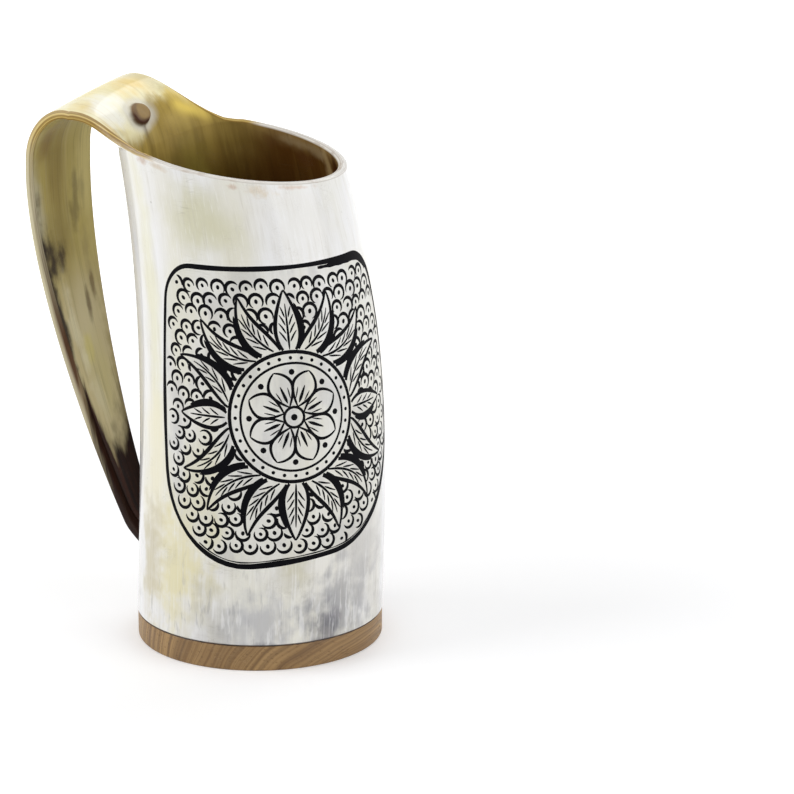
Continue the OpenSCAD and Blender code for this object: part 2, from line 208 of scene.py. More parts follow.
print("strap length, mm:", round(PATH_LENGTH[-1], 1))

# %% [markdown]
# Node trees are easier to read when sums look like sums. A Wire is a number travelling
# through a tree: adding or multiplying two of them places a Math node. The same small
# kit is used for the Geometry Nodes trees and for the materials.

# %% A small kit for node trees
class Wire:
    def __init__(self, tree, socket):
        self.tree, self.socket = tree, socket

    def do(self, operation, *others):
        node = self.tree.nodes.new("ShaderNodeMath")
        node.operation = operation
        for slot, value in zip(node.inputs, (self, *others)):
            plug(self.tree, slot, value)
        return Wire(self.tree, node.outputs[0])

    def __add__(self, o): return self.do("ADD", o)
    def __radd__(self, o): return self.do("ADD", o)
    def __sub__(self, o): return self.do("SUBTRACT", o)
    def __rsub__(self, o): return (self * -1).do("ADD", o)
    def __mul__(self, o): return self.do("MULTIPLY", o)
    def __rmul__(self, o): return self.do("MULTIPLY", o)
    def __truediv__(self, o): return self.do("DIVIDE", o)
    def __pow__(self, o): return self.do("POWER", o)


def plug(tree, slot, value):
    if isinstance(value, Wire):
        tree.links.new(value.socket, slot)
    elif isinstance(value, bpy.types.NodeSocket):
        tree.links.new(value, slot)
    elif value is not None:
        slot.default_value = value


def put(tree, kind, feed=(), out=0, **settings):
    """Place a node, set what it has to be set to, and wire its inputs."""
    node = tree.nodes.new(kind)
    for name, value in settings.items():
        setattr(node, name, value)
    for name, value in dict(feed).items():
        plug(tree, node.inputs[name], value)
    return Wire(tree, node.outputs[out])


print("kit for nodes ready")

# %% Helpers for whole trees and for meshes
def new_tree(name, kind, inputs, outputs):
    """A node group with its inputs as wires, and the node that its outputs go to."""
    tree = bpy.data.node_groups.new(name, kind)
    for label, socket, value in inputs:
        made = tree.interface.new_socket(label, in_out="INPUT", socket_type=socket)
        if value is not None:
            made.default_value = value
    for label, socket in outputs:
        tree.interface.new_socket(label, in_out="OUTPUT", socket_type=socket)
    source = tree.nodes.new("NodeGroupInput")
    given = {s.name: Wire(tree, s) for s in source.outputs if s.name}
    sink = tree.nodes.new("NodeGroupOutput")
    return tree, given, sink


def run_tree(obj, tree, settings):
    """Run a Geometry Nodes tree on an object and keep the result as a plain mesh."""
    modifier = obj.modifiers.new(tree.name, "NODES")
    modifier.node_group = tree
    sockets = {s.name: s for s in tree.interface.items_tree if s.in_out == "INPUT"}
    for label, value in settings.items():
        modifier[sockets[label].identifier] = value
    found = obj.evaluated_get(bpy.context.evaluated_depsgraph_get())
    mesh = bpy.data.meshes.new_from_object(found)
    obj.modifiers.remove(modifier)
    old, obj.data = obj.data, mesh
    bpy.data.meshes.remove(old)
    mesh.name = obj.name


def mesh_object(name, points, faces):
    """A mesh from points in millimetres, on an object at the origin."""
    mesh = bpy.data.meshes.new(name)
    mesh.from_pydata([tuple(p) for p in np.asarray(points, float) * MM], [], [tuple(f) for f in faces])
    mesh.update()
    obj = bpy.data.objects.new(name, mesh)
    bpy.context.scene.collection.objects.link(obj)
    return obj


def triangles(obj):
    return sum(len(face.vertices) - 2 for face in obj.data.polygons)


print("kit for meshes ready")

# %% [markdown]
# Materials are made near the end, but a Geometry Nodes tree has to name the one it sets,
# so empty ones are made here and filled later.

# %% Names of the finishes
FINISHES = {name: bpy.data.materials.new(name) for name in
            ("polished_horn", "inked_groove", "black_fill", "turned_wood", "old_glue", "clear_coat")}
print("finishes:", ", ".join(FINISHES))

# %% [markdown]
# One tree rolls flat work round the body. Flat work has the distance round the foot as X,
# the height as Y and the height above the skin as Z, which is how an engraver would lay
# the drawing out on paper. The rings of the horn then give every point its real place.

# %% Tree that rolls flat work onto the horn
roll_tree, given, sink = new_tree(
    "roll onto horn", "GeometryNodeTree",
    [("Geometry", "NodeSocketGeometry", None), ("Foot radius", "NodeSocketFloat", FOOT_RADIUS * MM),
     ("Rim radius", "NodeSocketFloat", RIM_RADIUS * MM),
     ("Base height", "NodeSocketFloat", BASE_HEIGHT * MM),
     ("Rim height", "NodeSocketFloat", RIM_HEIGHT * MM), ("Taper power", "NodeSocketFloat", TAPER),
     ("Bow", "NodeSocketFloat", BOW * MM), ("Lean", "NodeSocketFloat", LEAN * MM),
     ("Material", "NodeSocketMaterial", None), ("Set material", "NodeSocketBool", False)],
    [("Geometry", "NodeSocketGeometry")])
place = roll_tree.nodes.new("ShaderNodeSeparateXYZ")
plug(roll_tree, place.inputs[0], put(roll_tree, "GeometryNodeInputPosition"))
around, height, lift = (Wire(roll_tree, s) for s in place.outputs)
up = ((height - given["Base height"]) / (given["Rim height"] - given["Base height"])).do("MAXIMUM", 0)
narrowing = (given["Foot radius"] - given["Rim radius"]) * up ** given["Taper power"]
radius = given["Foot radius"] - narrowing + lift
middle = given["Bow"] * 3 * up - (given["Bow"] * 3 + given["Lean"]) * up ** 3
turn = around / given["Foot radius"]
rolled = put(roll_tree, "ShaderNodeCombineXYZ",
             {"X": middle + radius * turn.do("COSINE"), "Y": radius * turn.do("SINE"), "Z": height})
flat = put(roll_tree, "GeometryNodeInputNamedAttribute", {"Name": "flat"}, data_type="BOOLEAN")
bent = put(roll_tree, "GeometryNodeSetPosition",
           {"Geometry": given["Geometry"], "Selection": flat, "Position": rolled})
real = put(roll_tree, "GeometryNodeRealizeInstances", {"Geometry": bent})
plug(roll_tree, sink.inputs[0], put(roll_tree, "GeometryNodeSetMaterial",
     {"Geometry": real, "Selection": given["Set material"], "Material": given["Material"]}))
print("roll tree:", len(roll_tree.nodes), "nodes")

# %% [markdown]
# The drawing is worked out flat, in millimetres across and up from the middle of the
# panel. A line is a strip that swells and thins like a cut made with a graver. Shapes
# already drawn mask what comes later, so a leaf goes behind the round field and the
# ground stops at the leaves.

# %% Lines and masks of the drawing
masks = []
ink_shapes = []


def inside(points, outline):
    x, y = points[:, :1], points[:, 1:]
    x0, y0 = outline[:, 0], outline[:, 1]
    x1, y1 = np.roll(x0, -1), np.roll(y0, -1)
    spans = (y0 > y) != (y1 > y)
    with np.errstate(divide="ignore", invalid="ignore"):
        cross = x < (x1 - x0) * (y - y0) / (y1 - y0) + x0
    return (spans & cross).sum(1) % 2 == 1


def masked(points):
    hit = np.zeros(len(points), bool)
    for outline in masks:
        hit |= inside(points, outline)
    return hit


def add_strip(points, widths, closed=False):
    p, w = np.asarray(points, float), np.asarray(widths, float)
    if closed:
        way = np.roll(p, -1, 0) - np.roll(p, 1, 0)
    else:
        way = np.gradient(p, axis=0)
    way /= np.hypot(*way.T)[:, None]
    side = np.stack([-way[:, 1], way[:, 0]], -1) * w[:, None] / 2
    left, right = p + side, p - side
    for i in range(len(p) if closed else len(p) - 1):
        j = (i + 1) % len(p)
        ink_shapes.append(np.array([right[i], right[j], left[j], left[i]]))


print("strips and masks ready")

# %% Tapered lines, arcs and dots
def resample(points, step):
    """The same path with evenly spaced points."""
    p = np.asarray(points, float)
    s = np.concatenate([[0], np.cumsum(np.hypot(*np.diff(p, axis=0).T))])
    t = np.linspace(0, s[-1], max(3, int(round(s[-1] / step)) + 1))
    return np.stack([np.interp(t, s, p[:, 0]), np.interp(t, s, p[:, 1])], -1)


def line(points, width, thin=0.25, peak=0.5, step=0.9):
    """A tapered line, left out wherever something drawn earlier lies over it."""
    p = resample(points, step)
    t = np.linspace(0, 1, len(p))
    body = np.where(t < peak, t / max(peak, 1e-6), (1 - t) / max(1 - peak, 1e-6))
    w = width * mix(thin, 1, np.sqrt(np.clip(body, 0, 1)))
    seen = ~masked(p)
    start = None
    for i in range(len(p) + 1):
        if i < len(p) and seen[i]:
            start = i if start is None else start
        elif start is not None:
            if i - start > 2:
                add_strip(p[start:i], w[start:i])
            start = None


def arc(centre, radius, a0, a1, count):
    a = np.radians(np.linspace(a0, a1, count))
    return np.stack([centre[0] + radius * np.cos(a), centre[1] + radius * np.sin(a)], -1)


def circle(radius, count):
    return arc((0, 0), radius, 0, 360, count + 1)[:-1]


def dot_outline(centre, radius, corners=8):
    return arc(centre, radius, 0, 360 - 360 / corners, corners)


def curl_line(foot, tip, bow, count):
    """A curve from foot to tip that bows to its left by a share of its length."""
    foot, tip = np.array(foot, float), np.array(tip, float)
    way = tip - foot
    side = np.array([-way[1], way[0]])
    t = np.linspace(0, 1, count)[:, None]
    return foot + way * t + side * bow * 4 * t * (1 - t)


print("drawing kit ready")

# %% [markdown]
# The panel has a border cut with a broad line, small round corners above and large ones
# below. It is drawn in a little at the top and the bottom, and its lower edge rises
# towards the right. The stroke swells and thins as a hand-cut one does: it has a wedge in
# the top right corner, and a thin second stroke runs beside it below.

# %% Border of the panel
PANEL_TURN, PANEL_HEIGHT = 314.0, 84.3
HALF_WIDE, HALF_HIGH, BORDER = 46.2, 47.4, 1.8
UPPER_CORNER, LOWER_CORNER = 11.0, 30.0
LOWER_RISE, DRAWN_IN = 0.1, 0.12


def border_path(inset):
    """The border's middle line, moved inward by inset, then drawn in above and below."""
    path = []
    for k, (sx, sy) in enumerate([(1, 1), (-1, 1), (-1, -1), (1, -1)]):
        r = UPPER_CORNER if sy > 0 else LOWER_CORNER
        centre = (sx * (HALF_WIDE - r), sy * (HALF_HIGH - r))
        path.append(arc(centre, r - inset, 90 * k, 90 * k + 90, 12))
    x, y = resample(np.concatenate([*path, path[0][:1]]), 1.5)[:-1].T
    up = y / HALF_HIGH
    x = x * (1 - DRAWN_IN * up * up)
    return np.stack([x, y + LOWER_RISE * (1 - up) / 2 * x], -1)


border = border_path(0)
wander = np.arange(len(border)) / len(border) * 2 * np.pi
heavy = 0.92 - 0.06 * border[:, 1] / HALF_HIGH + 0.1 * border[:, 0] / HALF_WIDE
hand = 0.1 * np.sin(5 * wander + 1) + 0.06 * np.sin(13 * wander)
add_strip(border, BORDER * (heavy + hand), closed=True)
second = border_path(BORDER * 0.72)
second = second[(second[:, 1] < -0.45 * HALF_HIGH) & (second[:, 0] > -0.7 * HALF_WIDE)]
add_strip(second, 0.4 + 0.12 * np.sin(np.arange(len(second)) * 0.7))
third = border_path(BORDER * 0.8)
third = third[(third[:, 1] > 0.86 * HALF_HIGH) & (third[:, 0] > 0.3 * HALF_WIDE)]
third = third[np.argsort(third[:, 0])]
wedge = 0.5 + 1.1 * np.sin(np.pi * np.linspace(0.08, 0.85, len(third)))
add_strip(third, wedge + 0.2 * np.sin(np.arange(len(third)) * 1.9))
field, dotted_field = border_path(BORDER / 2 + 0.3), border_path(BORDER / 2 + 1.0)
print("border shapes:", len(ink_shapes))

# %% [markdown]
# In the middle stands a round field with a double line, a ring of beads and a rosette of
# eight petals. Leaves grow out of it above, below and to the sides. A leaf that is drawn
# first lies on top, because it masks the ones after it.

# %% How a leaf is drawn
LEAF_STEPS, LEAF_LINE, RIB_LINE, VEIN_LINE, SHADE_LINE = 25, 1.4, 0.85, 0.65, 1.9


def leaf(foot, tip, wide, bow, veins, shade):
    """A pointed leaf with a bold outline, a middle rib, side veins and one dark side."""
    axis = curl_line(foot, tip, bow, LEAF_STEPS)
    way = np.gradient(axis, axis=0)
    way /= np.hypot(*way.T)[:, None]
    side = np.stack([-way[:, 1], way[:, 0]], -1)
    t = np.linspace(0, 1, LEAF_STEPS)
    half = wide * np.sin(np.pi * t ** 0.8) ** 0.8 * (1 - 0.25 * t)
    left, right = axis + side * half[:, None], axis - side * half[:, None]
    line(left, LEAF_LINE, 0.35)
    line(right, LEAF_LINE, 0.35)
    line(axis[2:20], RIB_LINE, 0.3, 0.25)
    for k in range(veins):
        for s, edge in ((1, left), (-1, right)):
            i = 5 + int(k * 13 / veins)
            j = min(i + 4, 22)
            inner = axis[i] + side[i] * s * 0.6
            outer = mix(axis[j], edge[j], 0.72)
            if np.hypot(*(outer - inner)) > 1.5:
                line([inner, mix(inner, outer, 0.5) + way[i] * 0.25, outer], VEIN_LINE, 0.3, 0.35, 0.6)
    dark, out = (right, -side) if shade > 0 else (left, side)
    line(dark[3:20] + out[3:20] * 0.9, SHADE_LINE, 0.15, 0.45)
    masks.append(np.concatenate([left, right[::-1]]))


print("points along a leaf:", LEAF_STEPS)

# %% Rosette and leaves
ROUNDEL, ROUNDEL_LINE, INNER_LINE, ROUND_STEPS = 21.0, 1.2, 0.8, 60
BEADS, BEAD, PETALS = 32, 0.62, 8
PETAL_FOOT, PETAL_LONG, PETAL_HALF, PETAL_LINE, PETAL_VEIN = 3.6, 12.0, 4.0, 1.1, 0.5
SEED_RING, SEED, HUB, HUB_LINE, HUB_DOT = 14.6, 1.0, 3.3, 0.9, 1.1

# The round field, with its double line and a ring of small beads.
add_strip(circle(ROUNDEL, ROUND_STEPS), np.full(ROUND_STEPS, ROUNDEL_LINE), closed=True)
add_strip(circle(ROUNDEL - 3.6, ROUND_STEPS), np.full(ROUND_STEPS, INNER_LINE), closed=True)
for bead in circle(ROUNDEL - 1.9, BEADS):
    ink_shapes.append(dot_outline(bead, BEAD))

# The petals, each with three short veins, and a seed between each two of them.
for k in range(PETALS):
    a = math.radians(360 / PETALS * (k + 0.5))
    out = np.array([math.cos(a), math.sin(a)])
    across = np.array([-out[1], out[0]])
    t = np.linspace(0, 1, 17)
    half = PETAL_HALF * np.sin(np.pi * t ** 1.25) ** 0.75
    axis = out * (PETAL_FOOT + PETAL_LONG * t[:, None])
    line(axis + across * half[:, None], PETAL_LINE, 0.35)
    line(axis - across * half[:, None], PETAL_LINE, 0.35)
    line([out * 5.0, out * 10.8], PETAL_LINE, 0.2, 0.3)
    for s in (1, -1):
        line([out * 6 + across * 1.5 * s, out * 9.6 + across * 2.1 * s], PETAL_VEIN, 0.3)
    b = a + math.radians(180 / PETALS)
    ink_shapes.append(dot_outline((SEED_RING * math.cos(b), SEED_RING * math.sin(b)), SEED))
add_strip(circle(HUB, 24), np.full(24, HUB_LINE), closed=True)
ink_shapes.append(dot_outline((0, 0), HUB_DOT, 10))
masks.append(circle(ROUNDEL + ROUNDEL_LINE / 2, ROUND_STEPS))

# A fan of five leaves above and five below.
for sy in (1, -1):
    leaf((0, sy * 20), (0, sy * 40.5), 4.6, 0, 4, 1)
    for sx in (1, -1):
        leaf((sx * 2.5, sy * 20), (sx * 15.5, sy * 38.5), 4.0, -0.16 * sx * sy, 4, sx * sy)
        leaf((sx * 8, sy * 18.5), (sx * 29, sy * 31.0), 3.8, -0.18 * sx * sy, 4, sx * sy)

# At each side a straight leaf, and one that curls away above it and one below it.
for sx in (1, -1):
    leaf((sx * 21, 0), (sx * 38.5, 0), 4.2, 0, 3, 1)
    for sy in (1, -1):
        leaf((sx * 20.5, sy * 3), (sx * 38, sy * 18.5), 3.5, 0.16 * sx * sy, 3, -sx * sy)
print("motif shapes:", len(ink_shapes))

# %% [markdown]
# The ground is the old ring-and-dot pattern: some two hundred small cuts, each a crescent
# round a dot. Every crescent is the same little strip bent to its own arc, which is work for
# Geometry Nodes. Each point carries its arc's middle direction, its sweep and its size.

# %% Where the ring-and-dot marks stand
RING_RADIUS, RING_LINE, DOT_RADIUS, DOT_ROOM = 2.3, 1.15, 0.68, 0.95
PITCH, ROW_PITCH, LOWEST_ROW = 5.15, 4.4, -51.0
RING_STEPS, LEAST_RUN, LEAST_INSIDE = 25, 9, 0.62
dice = np.random.default_rng(7)
marks = []
row_count = int((HALF_HIGH - LOWEST_ROW) / ROW_PITCH) + 1
for r in range(row_count):
    y = LOWEST_ROW + r * ROW_PITCH
    for c in range(int(2 * HALF_WIDE / PITCH) + 2):
        x = -HALF_WIDE + 1.0 + (c + 0.5 * (r % 2)) * PITCH
        centre = np.array([x, y]) + dice.uniform(-0.5, 0.5, 2)
        size = dice.uniform(0.86, 1.08)
        lean = dice.normal(0, 20)
        spread = dice.uniform(190, 310)
        low_part = smooth((12 - centre[1]) / 24)
        facing = mix(112 - 0.9 * (centre[0] + 20), -48 + 0.3 * centre[0], float(low_part)) + lean
        a = facing + np.linspace(-spread / 2, spread / 2, RING_STEPS)
        ring = centre + RING_RADIUS * size * np.stack([np.cos(np.radians(a)), np.sin(np.radians(a))], -1)
        in_border = inside(ring, field)
        if in_border.mean() < LEAST_INSIDE:
            continue
        seen = in_border & ~masked(ring)
        edges = np.flatnonzero(np.diff(np.concatenate([[0], seen.astype(int), [0]])))
        runs = sorted(zip(edges[::2], edges[1::2]), key=lambda e: e[0] - e[1])
        if not inside(centre[None], dotted_field)[0] or not runs or runs[0][1] - runs[0][0] < LEAST_RUN:
            continue
        first, last = runs[0][0], runs[0][1] - 1
        around_dot = dot_outline(centre, DOT_ROOM)
        dot = bool(inside(around_dot, field).all() and not masked(around_dot).any())
        marks.append((*centre, size, math.radians((a[first] + a[last]) / 2),
                      math.radians(a[last] - a[first]), dot))
print("ring-and-dot marks:", len(marks))

# %% Tree that cuts the ring-and-dot ground
marks_tree, given, sink = new_tree(
    "ring and dot ground", "GeometryNodeTree",
    [("Geometry", "NodeSocketGeometry", None), ("Ring radius", "NodeSocketFloat", RING_RADIUS * MM),
     ("Line width", "NodeSocketFloat", RING_LINE * MM), ("Dot radius", "NodeSocketFloat", DOT_RADIUS * MM),
     ("Material", "NodeSocketMaterial", None)],
    [("Geometry", "NodeSocketGeometry")])


def named(tree, name, kind="FLOAT"):
    return put(tree, "GeometryNodeInputNamedAttribute", {"Name": name}, data_type=kind)


def store(tree, geometry, name, value, kind="FLOAT", domain="POINT"):
    return put(tree, "GeometryNodeStoreNamedAttribute",
               {"Geometry": geometry, "Name": name, "Value": value}, data_type=kind, domain=domain)


strip = marks_tree.nodes.new("GeometryNodeMeshGrid")
for label, value in (("Size X", 1.0), ("Size Y", 1.0), ("Vertices X", 15), ("Vertices Y", 2)):
    strip.inputs[label].default_value = value
unit = marks_tree.nodes.new("ShaderNodeSeparateXYZ")
plug(marks_tree, unit.inputs[0], put(marks_tree, "GeometryNodeInputPosition"))
strip_x = store(marks_tree, strip.outputs["Mesh"], "along", Wire(marks_tree, unit.outputs[0]))
strip_xy = store(marks_tree, strip_x, "across", Wire(marks_tree, unit.outputs[1]))
position = put(marks_tree, "GeometryNodeInputPosition")
centred = store(marks_tree, given["Geometry"], "centre", position, "FLOAT_VECTOR")
copies = put(marks_tree, "GeometryNodeInstanceOnPoints", {"Points": centred, "Instance": strip_xy})
rings = put(marks_tree, "GeometryNodeRealizeInstances", {"Geometry": copies})
along, across = named(marks_tree, "along"), named(marks_tree, "across")
size, middle, sweep = (named(marks_tree, n) for n in ("size", "middle", "sweep"))
swell = (1 - (along * 2).do("ABSOLUTE") ** 2.2) * 0.82 + 0.18
bend_at = middle + sweep * along
reach = given["Ring radius"] * size + across * given["Line width"] * swell * -1
spot = put(marks_tree, "ShaderNodeCombineXYZ",
           {"X": reach * bend_at.do("COSINE"), "Y": reach * bend_at.do("SINE")})
on_ring = put(marks_tree, "ShaderNodeVectorMath",
              {0: named(marks_tree, "centre", "FLOAT_VECTOR"), 1: spot}, operation="ADD")
crescents = put(marks_tree, "GeometryNodeSetPosition", {"Geometry": rings, "Position": on_ring})
disc = put(marks_tree, "GeometryNodeMeshCircle",
           {"Vertices": 8, "Radius": given["Dot radius"]}, fill_type="NGON")
stretch = put(marks_tree, "ShaderNodeCombineXYZ", {"X": size * 1.15, "Y": size * 0.9, "Z": 1.0})
tilt = put(marks_tree, "ShaderNodeCombineXYZ", {"Z": middle})
dots = put(marks_tree, "GeometryNodeInstanceOnPoints",
           {"Points": centred, "Selection": named(marks_tree, "dot", "BOOLEAN"), "Instance": disc,
            "Rotation": tilt, "Scale": stretch})
both = marks_tree.nodes.new("GeometryNodeJoinGeometry")
for part in (dots, crescents):
    marks_tree.links.new(part.socket, both.inputs[0])
whole = put(marks_tree, "GeometryNodeRealizeInstances", {"Geometry": both.outputs[0]})
plug(marks_tree, sink.inputs[0], put(marks_tree, "GeometryNodeSetMaterial",
     {"Geometry": whole, "Material": given["Material"]}))
print("ring-and-dot tree:", len(marks_tree.nodes), "nodes")

# %% Run the tree and keep its shapes as cuts
ground = mesh_object("ring_and_dot_ground", [(m[0], m[1], 0) for m in marks], [])
for name, kind, column in (("size", "FLOAT", 2), ("middle", "FLOAT", 3), ("sweep", "FLOAT", 4),
                           ("dot", "BOOLEAN", 5)):
    mark_note = ground.data.attributes.new(name, kind, "POINT")
    mark_note.data.foreach_set("value", [m[column] for m in marks])
run_tree(ground, marks_tree, {"Material": FINISHES["black_fill"]})
flat_points = np.array([v.co[:2] for v in ground.data.vertices]) / MM
for face in ground.data.polygons:
    ink_shapes.append(flat_points[list(face.vertices)])
bpy.data.objects.remove(ground)
print("shapes to cut:", len(ink_shapes))

# %% [markdown]
# The horn is one closed shell. Its outer skin carries on as the side of the strap that
# faces the cup, its inner skin as the side that faces away. The shell is laid out as a
# grid of columns round the horn and rows along it. The body rows are flat work for the
# roll tree, the strap rows are placed on their path. Both skins stop a little short of
# every sawn edge, and a band of small arcs closes them, so each edge is softly rounded.

# %% Columns and rows of the shell
STRAP_COLUMNS, BODY_COLUMNS = 64, 80
COLUMNS = STRAP_COLUMNS + BODY_COLUMNS
RIM_ROUND, STRAP_ROUND, TIP_ROUND = 0.85, 0.55, 0.25
PATCH_COLUMNS, PATCH_LOW, PATCH_HIGH, PATCH_ROWS = (60, 114), 30.0, 143.0, 56
GROOVE, FOOT_CHAMFER, LAST_PLACE = 0.34, 0.3, ENDS - 0.003


def share_of(j):
    return 1 - 2 * j / STRAP_COLUMNS


def angle_of(j):
    if j <= STRAP_COLUMNS:
        return 180 - FLARE * share_of(j)
    return 180 + FLARE + (360 - 2 * FLARE) * (j - STRAP_COLUMNS) / BODY_COLUMNS


def top_line(angle):
    """Height where the body rows end: the rim, or the root of the strap."""
    angle = np.asarray(angle, float)
    share = (180 - angle) / FLARE
    return np.where(np.abs(share) <= 1, root_line(np.clip(share, -1, 1)), rim_line(angle))


ANGLES = np.array([angle_of(j) for j in range(COLUMNS)])
TOPS = top_line(ANGLES) - RIM_ROUND
SHARES = np.array([share_of(j) for j in range(STRAP_COLUMNS + 1)])
outer_levels = np.concatenate([[HORN_FOOT, HORN_FOOT + FOOT_CHAMFER],
                               np.linspace(HORN_FOOT + FOOT_CHAMFER, PATCH_LOW, 11)[1:],
                               np.linspace(PATCH_LOW, PATCH_HIGH, PATCH_ROWS + 1)[1:]])
inner_levels = np.concatenate([np.linspace(SEAT_TOP, PATCH_LOW, 6),
                               np.linspace(PATCH_LOW, PATCH_HIGH, 29)[1:]])
TOP_ROWS, EDGE_STEPS = 9, (0.1, 0.3, 0.6)
strap_us = np.concatenate([[0, 0.01, 0.03, 0.06, 0.1], np.arange(0.14, 1, 0.028),
                           np.linspace(1, 2, 28)[:-1], np.linspace(2, ENDS, 52)])
print("columns:", COLUMNS, "rows of the strap:", len(strap_us))

# %% Points of the shell, with notes that the materials read
DEEP_INSIDE, EDGE_NOTE = -140.0, 0.5
points, notes = [], []


def add_point(place, is_flat, through, along, side, grain, edge=0.0, panel=0.0):
    points.append(place)
    notes.append((is_flat, through, along, side, edge, panel, *grain))
    return len(points) - 1


def add_body_point(angle, z, sink, through, panel=0.0, edge=0.0):
    """A point of flat work. Side runs from -1 to 1 over the strap and back to 0 in front."""
    a = math.radians(angle)
    share = ((360 - angle) % 360 - 180) / FLARE
    side = math.copysign(min(abs(share), max(0.0, 2 - abs(share))), share)
    r = float(body_r(z)) - sink
    return add_point((a * FOOT_RADIUS, z, -sink), True, through, float(z - top_line(angle)), side,
                     (r * math.cos(a), r * math.sin(a), z), edge, panel)


print("one row of the body holds", len(ANGLES), "points")

# %% Rows of the two skins
def edge_round(d):
    return mix(RIM_ROUND, STRAP_ROUND, float(smooth(d / FILLET)))


def narrowed(d, u):
    """Share of the half width that is left once the rounded edge is taken off."""
    r = edge_round(d)
    if d < FILLET:
        q = on_path(max(u, 0))[0][2]
        left_of_arc = math.sqrt(max(0, 1 - ((FILLET - d) / (FILLET + r)) ** 2))
        inset = FLARE_WIDTH - (FLARE_WIDTH - q + r) * left_of_arc
        return inset / mix(q, FLARE_WIDTH, 1 - math.sqrt(1 - min(1, 1 - max(d, 0) / FILLET) ** 2))
    return 1 - r / half_width(u)


def strap_grain(share, u, skin):
    w, near_root = share * half_width(u), max(0, 1 - from_root(u) / SEAM) ** 2
    a = math.pi - w / ROOT_RADIUS
    r = ROOT_RADIUS - skin * WALL
    z = ROOT_HEIGHT + path_length(u) + (float(root_line(share)) - ROOT_HEIGHT) * near_root
    return r * math.cos(a), r * math.sin(a), z


def strap_edge(j):
    return EDGE_NOTE if j in (0, STRAP_COLUMNS) else 0


def skin_rows(skin, levels):
    """All rows of one skin, 0 outside and 1 inside, body first. Only body rows close."""
    rows = []
    for i, z in enumerate(levels):
        chamfer = FOOT_CHAMFER if skin == 0 and i == 0 else 0.0
        rows.append([add_body_point(a, z, skin * WALL + chamfer, skin) for a in ANGLES])
    for k in range(1, TOP_ROWS + 1):
        rows.append([add_body_point(a, mix(levels[-1], t, k / TOP_ROWS), skin * WALL, skin,
                                    edge=EDGE_NOTE if k == TOP_ROWS else 0) for a, t in zip(ANGLES, TOPS)])
    body_rows = len(rows)
    for step in EDGE_STEPS:
        d = -RIM_ROUND * (1 - step)
        shares = SHARES * narrowed(d, 0)
        rows.append([add_body_point(180 - s * FLARE, float(root_line(s)) + d, skin * WALL, skin,
                                    edge=strap_edge(j)) for j, s in enumerate(shares)])
    for u in strap_us:
        u = min(u, LAST_PLACE)
        v = u * (ENDS - (BEVEL if skin == 0 else 0)) / ENDS
        shares = SHARES * narrowed(from_root(v), v)
        here = strap_point(shares, u, skin)
        rows.append([add_point(here[j], False, skin, path_length(v), s, strap_grain(s, v, skin),
                               edge=strap_edge(j)) for j, s in enumerate(shares)])
    return rows, body_rows


def true_place(index):
    """Where a point ends up, whether it is flat work or already placed."""
    x, y, z = points[index]
    return body_point(math.degrees(x / FOOT_RADIUS), y, -z) if notes[index][0] else np.array(points[index])


outer_rows, outer_body = skin_rows(0, outer_levels)
inner_rows, inner_body = skin_rows(1, inner_levels)
print("shell points:", len(points))

# %% Faces of the two skins, and the seat bored in the foot
faces, face_finish = [], []
POLISHED, STAINED = 0, 1


def add_face(ids, finish=POLISHED):
    faces.append(ids)
    face_finish.append(finish)


patch_low = len(outer_levels) - 1 - PATCH_ROWS
patch_high = patch_low + PATCH_ROWS
for i in range(len(outer_rows) - 1):
    low, high = outer_rows[i], outer_rows[i + 1]
    for j in range(COLUMNS if i < outer_body - 1 else STRAP_COLUMNS):
        if patch_low <= i < patch_high and PATCH_COLUMNS[0] <= j < PATCH_COLUMNS[1]:
            continue
        k = (j + 1) % COLUMNS
        add_face((low[j], low[k], high[k], high[j]))
for i in range(len(inner_rows) - 1):
    low, high = inner_rows[i], inner_rows[i + 1]
    for j in range(COLUMNS if i < inner_body - 1 else STRAP_COLUMNS):
        k = (j + 1) % COLUMNS
        add_face((low[j], high[j], high[k], low[k]))

seat = []
for z in (HORN_FOOT, SEAT_TOP):
    bored = [(SEAT_RADIUS * math.cos(math.radians(a)), SEAT_RADIUS * math.sin(math.radians(a)), z)
             for a in ANGLES]
    seat.append([add_point(place, False, 0.5, DEEP_INSIDE, 0.0, place) for place in bored])
for ring, following in ((outer_rows[0], seat[0]), (seat[0], seat[1]), (seat[1], inner_rows[0])):
    for j in range(COLUMNS):
        k = (j + 1) % COLUMNS
        add_face((ring[j], following[j], following[k], ring[k]))


print("faces of the skins:", len(faces))

# %% Round the sawn edges
def edge_loop(rows, body_rows):
    """The border of one skin: along the rim, down behind, round the tip, up in front."""
    top = rows[body_rows - 1]
    rim = [top[j % COLUMNS] for j in range(STRAP_COLUMNS, COLUMNS + 1)]
    rear = [r[0] for r in rows[body_rows:]]
    tip = rows[-1][1:]
    front = [r[STRAP_COLUMNS] for r in rows[body_rows:-1]][::-1]
    return rim + rear + tip + front


loops = [edge_loop(outer_rows, outer_body), edge_loop(inner_rows, inner_body)]
places = [np.array([true_place(i) for i in loop]) for loop in loops]
centre_line = (places[0] + places[1]) / 2
way = np.roll(centre_line, -1, 0) - np.roll(centre_line, 1, 0)
through_way = places[1] - places[0]
way /= np.linalg.norm(way, axis=1)[:, None]
through_way /= np.linalg.norm(through_way, axis=1)[:, None]
out_way = np.cross(way, through_way)
out_way /= np.linalg.norm(out_way, axis=1)[:, None]
rim_count, strap_count = BODY_COLUMNS + 1, len(outer_rows) - outer_body
rounds = np.full(len(loops[0]), STRAP_ROUND)
rounds[:rim_count] = RIM_ROUND
for k in range(strap_count):
    u = strap_us[k - len(EDGE_STEPS)] if k > len(EDGE_STEPS) else 0.0
    rounds[rim_count + k] = rounds[-1 - k] = edge_round(from_root(u))
tip = slice(rim_count + strap_count - 1, rim_count + strap_count + STRAP_COLUMNS)
rounds[tip] = TIP_ROUND
bands = [loops[0]]
